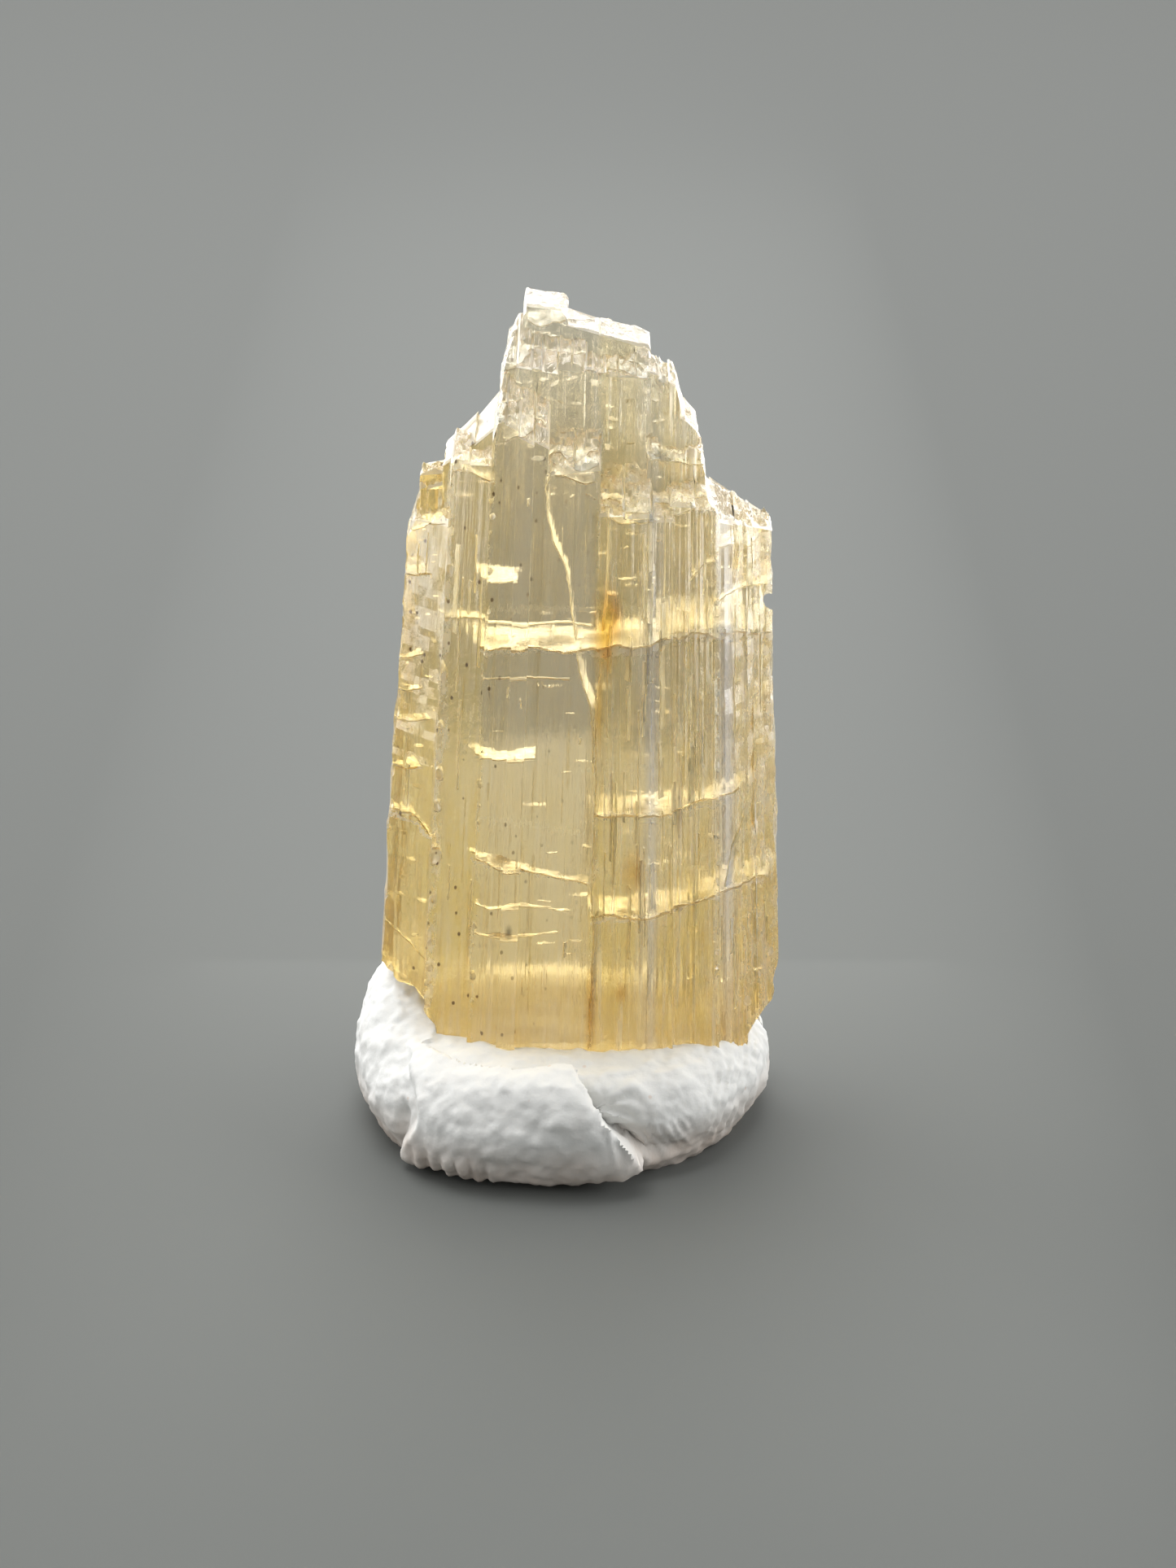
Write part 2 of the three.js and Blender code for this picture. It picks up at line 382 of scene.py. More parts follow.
def patch(tree, place, centre, spread):
    """A soft-edged patch around a point: 1 at its middle and 0 beyond its spread."""
    moved = node(tree, "ShaderNodeVectorMath", {0: place, 1: centre}, operation="SUBTRACT")
    scales = [1 / s for s in spread]
    sized = node(tree, "ShaderNodeVectorMath", {0: moved.outputs["Vector"], 1: scales}, operation="MULTIPLY")
    length = node(tree, "ShaderNodeVectorMath", {0: sized.outputs["Vector"]}, operation="LENGTH")
    return value_range(tree, length.outputs["Value"], 1.0, 0.2)


# How the crystal changes across its width: place in millimetres, then how honey-coloured,
# how grainy, how streaked and how chipped it is there.
COLUMNS = (
    (-6.2, 1.0, 0.45, 0.15, 0.1), (-4.72, 1.0, 0.45, 0.15, 0.1), (-4.6, 0.6, 0.9, 0.3, 1.0),
    (-4.42, 0.6, 0.9, 0.2, 1.0), (-4.3, 0.75, 0.7, 0.5, 0.15), (-3.2, 0.8, 0.7, 0.5, 0.1),
    (-3.1, 0.5, 0.3, 0.3, 0.8), (-3.0, 0.3, 0.1, 0.5, 0.0), (0.6, 0.25, 0.1, 0.5, 0.0),
    (0.72, 0.7, 0.3, 0.35, 0.7), (0.9, 0.75, 0.45, 0.7, 0.1), (1.7, 0.7, 0.45, 0.8, 0.1),
    (2.0, 0.5, 0.3, 0.8, 0.1), (2.45, 0.12, 0.1, 0.4, 0.0), (2.8, 0.12, 0.1, 0.4, 0.0),
    (2.95, 0.6, 0.45, 1.0, 0.3), (4.7, 0.65, 0.45, 1.0, 0.3), (4.8, 0.2, 0.3, 0.5, 0.8),
    (4.95, 0.08, 0.1, 0.3, 0.0), (5.35, 0.08, 0.1, 0.3, 0.0), (5.5, 0.6, 0.5, 0.8, 0.6),
    (6.9, 0.6, 0.6, 0.7, 0.6),
)

# Stains: middle, spread and colour.
STAINS = (
    ((1.2, -3.2, 17.35), (0.42, 1.6, 0.95), (0.85, 0.3, 0.0)),
    ((1.0, -3.2, 16.9), (0.55, 1.8, 1.9), (0.93, 0.55, 0.06)),
    ((2.0, -3.1, 9.2), (0.5, 1.2, 0.9), (0.8, 0.55, 0.2)),
    ((1.7, -3.2, 5.2), (0.25, 1.0, 0.4), (0.62, 0.42, 0.15)),
    ((0.75, -3.2, 4.6), (0.22, 1.2, 1.9), (0.72, 0.45, 0.13)),
    ((0.82, -3.2, 14.4), (0.22, 1.2, 1.8), (0.85, 0.6, 0.2)),
    ((-5.4, -1.2, 17.0), (1.0, 2.5, 4.5), (0.86, 0.76, 0.48)),
    ((2.62, -3.2, 12.0), (0.3, 1.6, 12.0), (0.82, 0.87, 1.0)),
    ((5.15, -2.3, 12.5), (0.35, 1.6, 11.0), (0.82, 0.87, 1.0)),
    ((-1.97, -3.15, 7.27), (0.16, 0.6, 0.36), (0.01, 0.005, 0.005)),
)

# Partings with a pale, crushed lip, which also gets a painted highlight where it would catch the light from
# above: their row in PARTINGS and the width of the lip.
PALE_AND_LIT_LIPS = {0: 0.17, 1: 0.06, 2: 0.06, 3: 0.1, 8: 0.05, 14: 0.08, 15: 0.08}


RAMP_END = 7  # how far a ramp reaches to either side of the middle, in millimetres


def ramp_across(tree, across, stops):
    """A ramp over the crystal's width, with a colour at each place."""
    ramp = node(tree, "ShaderNodeValToRGB", {"Fac": value_range(tree, across, -RAMP_END, RAMP_END)})
    elements = ramp.color_ramp.elements
    while len(elements) < len(stops):
        elements.new(0.5)
    for element, (x, colour) in zip(elements, stops):
        element.position = (x + RAMP_END) / (2 * RAMP_END)
        element.color = colour
    return ramp


def pale_and_lit_lip(tree, across, height, wobble, path, width):
    """A crushed line along a parting, pale partly as crushed frost and partly as a painted highlight: 1 on
    the line and 0 away from it.
    """
    low, high = min(z for x, z in path) - 0.1, max(z for x, z in path) + 0.1
    ramp = ramp_across(tree, across, [(x, (*[(z - low) / (high - low)] * 3, 1)) for x, z in path])
    line = value_range(tree, ramp.outputs["Color"], 0, 1, low - 0.04, high - 0.04)
    away = maths(tree, "ABSOLUTE", maths(tree, "SUBTRACT", plus(tree, height, wobble), line), 0)
    lip = value_range(tree, away, width, 0.4 * width)
    lip = times(tree, lip, value_range(tree, across, path[0][0] - 0.05, path[0][0]))
    return times(tree, lip, value_range(tree, across, path[-1][0] + 0.05, path[-1][0]))


def crystal_material(settings):
    """Clear to honey glass, streaked, frosted where it broke, stained in places, and with a painted highlight
    along the lips of some partings.
    """
    material = bpy.data.materials.new("scapolite")
    material.use_nodes = True
    tree = material.node_tree
    shader = tree.nodes["Principled BSDF"]
    place = node(tree, "ShaderNodeAttribute", attribute_name="grain").outputs["Vector"]
    frost = node(tree, "ShaderNodeAttribute", attribute_name="frost").outputs["Fac"]
    axes = node(tree, "ShaderNodeSeparateXYZ", {"Vector": place})
    across, height = axes.outputs["X"], axes.outputs["Z"]
    wander = value_range(tree, grained_noise(tree, place, (0.8, 0.8, 0.5)), 0.3, 0.7, -0.12, 0.12)
    ramp = ramp_across(tree, plus(tree, across, wander), [(x, character) for x, *character in COLUMNS])
    column = node(tree, "ShaderNodeSeparateColor", {"Color": ramp.outputs["Color"]})

    # honey deepens towards the foot
    low = value_range(tree, height, 14.0, 5.0, 0.0, 0.4)
    mottle = value_range(tree, grained_noise(tree, place, (0.9, 0.9, 0.35)), 0.3, 0.7, -0.15, 0.15)
    honey = plus(tree, plus(tree, column.outputs["Red"], low), mottle)
    top_fade = value_range(tree, height, 20.0, 24.5, 1.0, 0.6)
    honey = times(tree, honey, top_fade)
    colour = blended(tree, honey, settings.clear_colour, settings.honey_colour)

    # fine upright streaks
    fine = grained_noise(tree, place, (7.0, 7.0, 0.35), 3.0, 0.6)
    broad = grained_noise(tree, place, (2.2, 2.2, 0.2), 2.0, 0.5)
    streaks = value_range(tree, plus(tree, fine, times(tree, broad, 0.6)), 0.78, 1.0)
    streaks = times(tree, streaks, column.outputs["Blue"])
    colour = blended(tree, times(tree, streaks, 0.8), colour, settings.cream_colour)
    grainy = larger(tree, column.outputs["Green"], value_range(tree, height, 19.5, 22.5, 0.0, 0.6))
    grit = value_range(tree, grained_noise(tree, place, (5.5, 5.5, 3.0), 4.0, 0.7), 0.5, 0.64)
    grit = times(tree, grit, grainy)
    chatter = value_range(tree, grained_noise(tree, place, (3.0, 3.0, 1.6), 4.0, 0.65), 0.46, 0.56)
    chatter = times(tree, chatter, ramp.outputs["Alpha"])
    whitened = larger(tree, times(tree, grit, 0.55), chatter)
    whitened = larger(tree, whitened, frost)
    unsteady = value_range(tree, grained_noise(tree, place, (4.0, 4.0, 4.0), 3.0, 0.6), 0.3, 0.7, -0.12, 0.12)
    # painted highlight: cream lines along the lips of some partings, partly crushed frost and partly the
    # light they catch from above
    for number, width in PALE_AND_LIT_LIPS.items():
        lip = pale_and_lit_lip(tree, across, height, unsteady, PARTINGS[number][0], width)
        whitened = larger(tree, whitened, lip)
    colour = blended(tree, times(tree, whitened, 0.8), colour, settings.cream_colour)
    for centre, spread, stain in STAINS:
        colour = blended(tree, patch(tree, place, centre, spread), colour, stain)

    # dark specks, mostly on the left
    flat = node(tree, "ShaderNodeMapping", {"Vector": place, "Scale": (1.6, 0.5, 1.2)})
    cells = node(
        tree, "ShaderNodeTexVoronoi", {"Vector": flat.outputs["Vector"], "Scale": 1.4, "Randomness": 1.0}
    )
    speck = value_range(tree, cells.outputs["Distance"], 0.14, 0.09)
    speck = times(tree, speck, value_range(tree, across, 0.0, -3.0, 0.3, 1.0))
    colour = blended(tree, speck, colour, (0.1, 0.06, 0.03))
    tree.links.new(colour, shader.inputs["Base Color"])

    rough = times(tree, column.outputs["Green"], 0.2)
    rough = larger(tree, rough, times(tree, streaks, 0.5))
    rough = larger(tree, rough, times(tree, whitened, 0.55))
    tree.links.new(rough, shader.inputs["Roughness"])

    coat = larger(tree, frost, times(tree, streaks, 0.6))
    tree.links.new(coat, shader.inputs["Coat Weight"])
    shader.inputs["Coat Roughness"].default_value = 0.4
    shader.inputs["Coat IOR"].default_value = 2.0
    lumps = grained_noise(tree, place, (5.0, 5.0, 3.0), 4.0, 0.65)
    relief_height = maths(
        tree, "ADD", times(tree, fine, value_range(tree, column.outputs["Blue"], 0.0, 1.0, 0.25, 1.0)),
        times(tree, lumps, grainy),
    )
    bump = node(tree, "ShaderNodeBump", {"Height": relief_height, "Strength": 0.5, "Distance": 0.00012})
    tree.links.new(bump.outputs["Normal"], shader.inputs["Normal"])
    shader.inputs["IOR"].default_value = settings.refraction
    shader.inputs["Transmission Weight"].default_value = settings.clarity
    absorb = tree.nodes.new("ShaderNodeVolumeAbsorption")
    absorb.inputs["Color"].default_value = (*settings.depth_colour, 1)
    absorb.inputs["Density"].default_value = settings.depth_strength
    tree.links.new(absorb.outputs["Volume"], tree.nodes["Material Output"].inputs["Volume"])
    return material


def tack_material(settings):
    """Dull white tack, with painted shade low down, tinted warm as a painted reflection, and random darker
    mottling and dirt specks.
    """
    material = bpy.data.materials.new("mineral_tack")
    material.use_nodes = True
    tree = material.node_tree
    shader = tree.nodes["Principled BSDF"]
    place = node(tree, "ShaderNodeTexCoord").outputs["Object"]
    height = node(tree, "ShaderNodeSeparateXYZ", {"Vector": place}).outputs["Z"]
    mottle = grained_noise(tree, place, (700, 700, 700), 3.0, 0.6)
    # painted shade: darker and warmer towards the foot, with a painted warm reflection; the mottle adds
    # random darker tone
    low = value_range(tree, height, 0.0019, 0.0003, 0.0, 1.5)
    painted_shade_and_mottle = plus(tree, times(tree, low, mottle), value_range(tree, mottle, 0.55, 0.8, 0.0, 0.12))
    colour = blended(tree, painted_shade_and_mottle, settings.colour, settings.shade_and_dirt_colour)
    # dark dirt specks, in the same colour as the painted shade
    cells = node(tree, "ShaderNodeTexVoronoi", {"Vector": place, "Scale": 900.0})
    speck = value_range(tree, cells.outputs["Distance"], 0.07, 0.04, 0.0, 0.6)
    colour = blended(tree, speck, colour, settings.shade_and_dirt_colour)
    tree.links.new(colour, shader.inputs["Base Color"])
    fine = grained_noise(tree, place, (6000, 6000, 6000), 3.0, 0.6)
    tree.links.new(value_range(tree, fine, 0.3, 0.7, 0.6, 0.85), shader.inputs["Roughness"])
    bump = node(tree, "ShaderNodeBump", {"Height": fine, "Strength": 0.35, "Distance": 0.00004})
    tree.links.new(bump.outputs["Normal"], shader.inputs["Normal"])
    shader.inputs["Specular IOR Level"].default_value = 0.35
    return material


# ---------------------------------------------------------------- the crystal

FOOT = 1.6  # height of the broken foot inside the pad

# The blades it grew from, in millimetres, before it tapers and leans: left, right, front at
# either side, back at either side, height of the broken top, and its rise to the right and back.
BLADES = (
    # left side, which turns back from the front face
    (-6.1, -4.45, -0.35, -1.95, 0.5, 0.9, 19.95, 0.15, 0.15),
    (-5.75, -4.8, 0.0, -0.1, 1.2, 1.6, 20.9, 0.1, 0.0),
    (-4.6, -3.05, -2.3, -2.75, 1.0, 1.0, 21.85, 0.05, 0.0),
    (-4.9, -3.0, -0.6, -0.9, 2.0, 2.4, 21.95, 0.75, 0.0),
    # the clear front face
    (-3.15, -1.15, -3.2, -3.2, 0.4, 0.4, 23.7, -0.45, 0.4),
    (-1.2, 0.7, -3.15, -3.15, 0.4, 0.4, 22.25, 0.1, 0.28),
    # the right of the front face
    (0.68, 3.3, -3.25, -3.15, 0.4, 0.4, 20.95, 0.0, 0.3),
    (3.2, 4.85, -3.05, -2.7, 0.4, 0.4, 20.85, -0.1, 0.15),
    (4.75, 6.85, -2.6, -0.75, 2.2, 0.7, 19.72, -0.42, 0.0),
    (2.4, 4.45, -1.45, -1.3, 0.6, 0.6, 21.95, -0.1, 0.1),
    (3.6, 4.2, -0.8, -0.7, 1.8, 1.7, 22.75, -0.5, 0.0),
    (4.05, 4.5, -0.6, -0.4, 1.7, 1.6, 21.6, -1.2, 0.0),
    # the crown
    (-3.0, 0.15, -1.0, -0.8, 2.0, 2.0, 24.8, -0.15, 0.3),
    (0.1, 0.85, -1.25, -1.2, 1.5, 1.5, 24.3, 0.0, 0.0),
    (0.8, 2.5, -0.45, -0.4, 1.6, 1.6, 24.3, 0.0, 0.2),
    (2.4, 3.7, -0.7, -0.6, 1.9, 1.8, 23.9, -0.55, 0.0),
    (-2.25, -0.6, 1.0, 1.0, 3.1, 3.15, 25.7, -0.1, 0.0),
    (-0.75, 2.5, 1.0, 1.0, 3.1, 3.2, 24.85, -0.23, 0.0),
    (-3.0, -2.15, 0.5, 0.5, 2.8, 2.9, 24.75, 0.4, 0.0),
    # the back
    (-6.05, -4.7, -0.1, -0.3, 0.7, 1.9, 20.5, 0.3, 0.0),
    (-4.9, -2.9, -0.4, -0.4, 2.5, 2.8, 21.6, 0.7, 0.0),
    (-3.0, 2.6, -0.4, -0.4, 3.05, 3.2, 23.8, -0.1, 0.0),
    (2.5, 4.55, -0.4, -0.4, 3.1, 2.7, 20.7, -0.2, 0.0),
    (4.4, 6.8, -0.5, -0.3, 2.5, 0.8, 19.75, -0.3, 0.0),
)
SPLINTER = 0.8  # mean width of the splinters that a blade broke into
CROWN_SPLINTER = 0.5  # the same near the top
TOP_CELL = 0.125  # grid of a broken top
TOP_EDGE = 0.07  # chipped edge round a broken top
# How frosted each kind of break is, from 0 to 1.
TOP_FROST = 0.12
TOP_EDGE_FROST = 0.8
STEP_FROST = 0.6
LIP_FROST = 0.9
CHIP_FROST = 0.8
CORNER_FROST = 0.12
NOTCH_FROST = 0.15

# Depth of the front face at each place across it.
FRONT = (
    (-6.1, -0.35), (-4.6, -1.9), (-4.55, -2.3), (-3.1, -2.75), (-3.05, -3.2), (0.7, -3.15), (0.75, -3.25),
    (3.25, -3.15), (3.3, -3.03), (4.8, -2.7), (4.85, -2.5), (6.85, -0.75),
)


def splinter(left, right, front, back, top, rise):
    """One upright splinter, with its front and back at their own depths and a broken top."""
    obj = block((left, min(front), FOOT), (right, max(back), top))
    across, deep = right - left, max(back) - min(front)
    edit(obj)
    corners = (
        (left, True, front[0]), (right, True, front[1]), (left, False, back[0]), (right, False, back[1]),
    )
    for x, at_front, y in corners:
        edge_y = min(front) if at_front else max(back)
        pick(obj, "verts", lambda v: abs(v.co.x - x) < 1e-4 and abs(v.co.y - edge_y) < 1e-4)
        bpy.ops.transform.translate(value=(0, y - edge_y, 0))
    for side, step in (("x", rise[0] * across / 2), ("y", rise[1] * deep / 2)):
        middle = (left + right) / 2 if side == "x" else (front[0] + back[0]) / 2
        for sign in (1, -1):
            pick(obj, "verts", lambda v: v.co.z > FOOT + 1 and sign * (getattr(v.co, side) - middle) > 0)
            bpy.ops.transform.translate(value=(0, 0, sign * step))
    pick(obj, "faces", lambda f: f.normal.z > 0.5)
    bpy.ops.mesh.bevel(offset=TOP_EDGE, segments=1)
    pick(obj, "faces", lambda f: f.normal.z > 0.85)
    bpy.ops.mesh.subdivide(number_cuts=max(2, int(max(across, deep) / TOP_CELL)))
    pick(obj, "faces", lambda f: f.normal.z > 0.85)
    chosen = [v.index for v in bmesh.from_edit_mesh(obj.data).verts if v.select]
    bpy.ops.object.mode_set(mode="OBJECT")
    obj.vertex_groups.new(name="top").add(chosen, 1.0, "REPLACE")
    mark(obj, "frost", TOP_FROST, lambda f: f.normal.z > 0.85)
    mark(obj, "frost", TOP_EDGE_FROST, lambda f: 0.1 < f.normal.z < 0.85)
    return obj


def grown_blades(chance):
    """All the blades in one solid, each broken into splinters that end at their own heights."""
    swells = relief("fracture_swells", "CLOUDS", noise_scale=1.1, noise_depth=1)
    ripples = relief("fracture_ripples", "CLOUDS", noise_scale=0.3, noise_depth=2)
    pieces = []
    for left, right, front_l, front_r, back_l, back_r, top, rise_x, rise_y in BLADES:
        plain = front_l > 0.4  # the blades at the back of the crown broke off smoothly
        width = 1.7 if plain else SPLINTER if top < 23 else CROWN_SPLINTER
        count = max(1, round((right - left) / width))
        edges = [left + (right - left) * i / count for i in range(count + 1)]
        edges[1:-1] = [x + chance.uniform(-0.15, 0.15) * width / SPLINTER for x in edges[1:-1]]
        for a, b in zip(edges, edges[1:]):
            share = [(x - left) / (right - left) for x in (a, b)]
            shift = chance.uniform(-0.05, 0.05) * (4 if top > 23 and not plain else 1)
            front = [front_l + (front_r - front_l) * t + shift for t in share]
            shift = chance.uniform(-0.06, 0.06)
            back = [back_l + (back_r - back_l) * t + shift for t in share]
            height = top + rise_x * ((a + b) / 2 - (left + right) / 2)
            height += chance.uniform(-0.09, 0.09) * (not plain)
            piece = splinter(a - 0.02, b + 0.02, front, back, height, (rise_x, rise_y))
            for texture, strength in ((swells, 0.6), (ripples, 0.35)):
                strength *= 0.35 if plain else 1
                displaced(piece, texture, strength, direction="Z", vertex_group="top")
            pieces.append(piece)
    return grown_together(pieces)


def slice_across(obj, axis, places, test):
    """Cuts edges into the faces that pass the test, at these places along an axis."""
    normal = [1.0 if name == axis else 0.0 for name in "xyz"]
    pick(obj, "faces", lambda face: not test(face))
    bpy.ops.mesh.hide(unselected=False)
    for place in places:
        bpy.ops.mesh.select_all(action="SELECT")
        bpy.ops.mesh.bisect(plane_co=[place * n for n in normal], plane_no=normal)
    bpy.ops.mesh.reveal(select=False)


def steps(low, high, pitch, chance):
    """Places from low to high at an uneven pitch."""
    places = [low]
    while places[-1] < high:
        places.append(places[-1] + pitch * chance.uniform(0.4, 1.7))
    return places[1:]


# How deep the laths and the lumps are at each place across the crystal, as a share of the whole.
LATH_DEPTHS = (
    (-6.1, 0.35), (-4.6, 0.35), (-4.5, 0.15), (-3.1, 0.15), (-3.0, 0.3), (0.7, 0.3), (1.8, 0.5), (2.2, 1.0),
    (7, 1.0),
)
LUMP_DEPTHS = ((-6.1, 1.0), (-4.8, 1.0), (-4.5, 0.1), (0.7, 0.1), (1.9, 0.4), (5.2, 0.5), (5.5, 1.0))


def is_upright(face):
    return abs(face.normal.z) < 0.5


def is_outer(face):
    """True for the upright faces of the outer blades, which are cut more finely."""
    x = face.calc_center_median().x
    return is_upright(face) and (x < -4.5 or x > 5.3)


def striate(obj, settings, chance):
    """Parts the faces into upright laths and sets them at slightly different depths."""
    edit(obj)
    pitch = settings.striation_pitch
    laths_across = steps(-6.3, 1.8, pitch, chance) + steps(1.8, 6.9, 0.65 * pitch, chance)
    slice_across(obj, "x", laths_across, is_upright)
    slice_across(obj, "y", steps(-2.6, 2.6, 1.6 * pitch, chance), lambda f: abs(f.normal.x) > 0.7)
    slice_across(obj, "z", steps(2.0, 24.0, 0.9, chance), is_upright)
    slice_across(obj, "z", steps(3.2, 20.5, 0.5, chance), is_outer)
    bpy.ops.object.mode_set(mode="OBJECT")
    sides = obj.vertex_groups.new(name="laths")
    lumpy = obj.vertex_groups.new(name="lumpy")
    mark(obj, "frost", STEP_FROST, lambda f: abs(f.normal.x) > 0.7 and f.center.y < -1.7 and f.center.z > 3)
    steep = {v for f in obj.data.polygons if abs(f.normal.z) > 0.5 for v in f.vertices}
    for vertex in obj.data.vertices:
        if vertex.index in steep:
            continue
        share = along(LATH_DEPTHS, vertex.co.x) if vertex.co.y < 0 else 1.0
        sides.add([vertex.index], share, "REPLACE")
        lumpy.add([vertex.index], along(LUMP_DEPTHS, vertex.co.x), "REPLACE")
    bpy.ops.object.empty_add(location=(0, 0, 0))
    ruler = bpy.context.active_object
    ruler.scale = (0.2, 2.0, 30.0)
    bpy.context.view_layer.update()
    laths = relief("laths", "CLOUDS", noise_scale=0.6, noise_depth=2)
    displaced(
        obj, laths, 3.4 * settings.striation_depth, mid_level=0.5,
        texture_coords="OBJECT", texture_coords_object=ruler, vertex_group="laths",
    )
    bpy.data.objects.remove(ruler)
    waves = relief("edge_waves", "CLOUDS", noise_scale=0.9, noise_depth=2)
    displaced(obj, waves, 0.3, mid_level=0.55, vertex_group="lumpy")


# Partings, each a thin gap that starts on the front face. Its path across that face (across,
# height), how deep it runs, the width of its chipped mouth and its waviness. Where it isn't
# straight and clear, also how far it slants sideways for each millimetre inwards, and how frosted
# it is inside.
PARTINGS = (
    # the two that nearly cross the crystal
    (((0.7, 16.25), (1.44, 16.37), (2.0, 16.3), (2.56, 16.36), (3.11, 16.65), (3.95, 16.76), (5.38, 16.5),
      (6.11, 16.2), (7.0, 15.9)), 5.2, 0.08, 0.3),
    (((-3.3, 16.15), (-2.6, 16.3), (-1.62, 16.36), (-0.23, 16.28), (0.8, 16.22)), 4.0, 0.09, 0.25),
    # right side
    (((0.7, 11.0), (1.53, 11.12), (2.34, 11.11), (3.42, 11.09), (4.51, 11.2), (5.6, 11.4)), 3.2, 0.09, 0.3),
    (((0.7, 7.6), (1.71, 7.71), (2.64, 7.77), (3.43, 7.97), (4.5, 8.19), (5.2, 8.3), (6.4, 8.15)),
     3.0, 0.1, 0.35, 0.0, 0.1),
    (((5.05, 8.3), (5.2, 9.0), (5.33, 9.6), (5.6, 10.2), (5.8, 10.9)), 0.7, 0.06, 0.1, 0.25, 0.5),
    (((4.9, 17.5), (5.3, 17.75), (6.0, 17.8), (6.7, 17.7)), 1.5, 0.05, 0.2, 0.0, 0.2),
    (((3.9, 18.3), (4.3, 18.75), (4.8, 18.9)), 0.8, 0.05, 0.1, 0.0, 0.3),
    # the clear face
    (((-3.2, 17.15), (-1.64, 17.04), (-0.33, 17.16), (0.5, 17.0)), 0.5, 0.04, 0.05, 0.0, 0.3),
    (((-3.3, 9.5), (-1.64, 9.25), (-0.04, 8.97), (0.6, 8.84)), 1.1, 0.05, 0.3, 0.0, 0.2),
    (((-3.3, 12.8), (-2.58, 12.78), (-1.3, 12.86)), 1.8, 0.03, 0.08),
    (((-3.3, 18.35), (-2.1, 18.45)), 2.6, 0.03, 0.06),
    (((-3.2, 15.3), (-1.86, 15.42), (-0.2, 15.36)), 0.3, 0.03, 0.04, 0.0, 0.4),
    (((-3.1, 8.1), (-1.6, 8.02), (0.0, 7.9)), 0.45, 0.02, 0.25),
    (((-3.1, 7.1), (-1.9, 7.05), (-0.4, 7.1)), 0.35, 0.02, 0.25),
    # left side
    (((-6.3, 10.05), (-5.24, 10.07), (-4.79, 9.75), (-4.3, 9.6)), 1.5, 0.1, 0.25),
    (((-6.3, 17.8), (-5.8, 17.85), (-5.14, 18.1)), 1.6, 0.06, 0.1),
    (((-6.3, 15.1), (-5.7, 15.2), (-5.2, 15.5)), 0.8, 0.05, 0.1, 0.0, 0.2),
    (((-6.3, 14.05), (-5.8, 14.1), (-5.2, 14.35)), 0.6, 0.05, 0.1, 0.0, 0.2),
    (((-6.3, 13.1), (-5.6, 13.2), (-4.9, 13.5)), 0.9, 0.04, 0.1, 0.0, 0.2),
    (((-6.3, 11.6), (-5.7, 11.65), (-5.1, 11.9)), 1.2, 0.08, 0.15),
    (((-4.65, 16.95), (-3.9, 17.1), (-3.1, 17.1)), 1.0, 0.03, 0.05, 0.0, 0.2),
    (((-5.9, 6.3), (-5.3, 6.0), (-4.6, 5.6)), 1.3, 0.05, 0.2),
    # upright ones
    (((-0.75, 24.0), (-1.01, 23.0), (-1.04, 22.27), (-1.29, 21.3), (-1.14, 20.3), (-0.59, 19.05),
      (-0.28, 18.05), (-0.01, 16.6)), 0.9, 0.05, 0.12, 0.1, 0.6),
    (((-0.01, 16.2), (0.13, 15.5), (0.5, 14.5), (0.62, 13.5), (0.64, 12.4)), 1.0, 0.06, 0.05, 0.2, 0.6),
    (((0.95, 20.7), (0.97, 18.8), (0.84, 16.9)), 0.5, 0.06, 0.03, 0.3, 0.7),
    (((0.8, 15.9), (0.7, 14.75), (0.74, 12.1), (0.66, 9.5), (0.74, 6.8), (0.68, 3.3)),
     0.5, 0.07, 0.06, 0.35, 0.8),
)


LIP_ROWS = (-1.0, -0.04, 0.08, 0.17)  # rows of a parting's grid at its mouth, by depth
ROW_PITCH = 0.25  # and further in
COLUMN_PITCH = 0.15
FLAT_COLUMN_PITCH = 0.35  # for a parting that is almost flat
THINNEST = 0.025  # how thin a parting is away from its mouth
LIP_DEPTH = 0.13  # how far in the frosted lip reaches


def face_at(x, face=None):
    """Depth of the face at a place across it: the front face, unless another is given."""
    return along(FRONT, x) if face is None else face


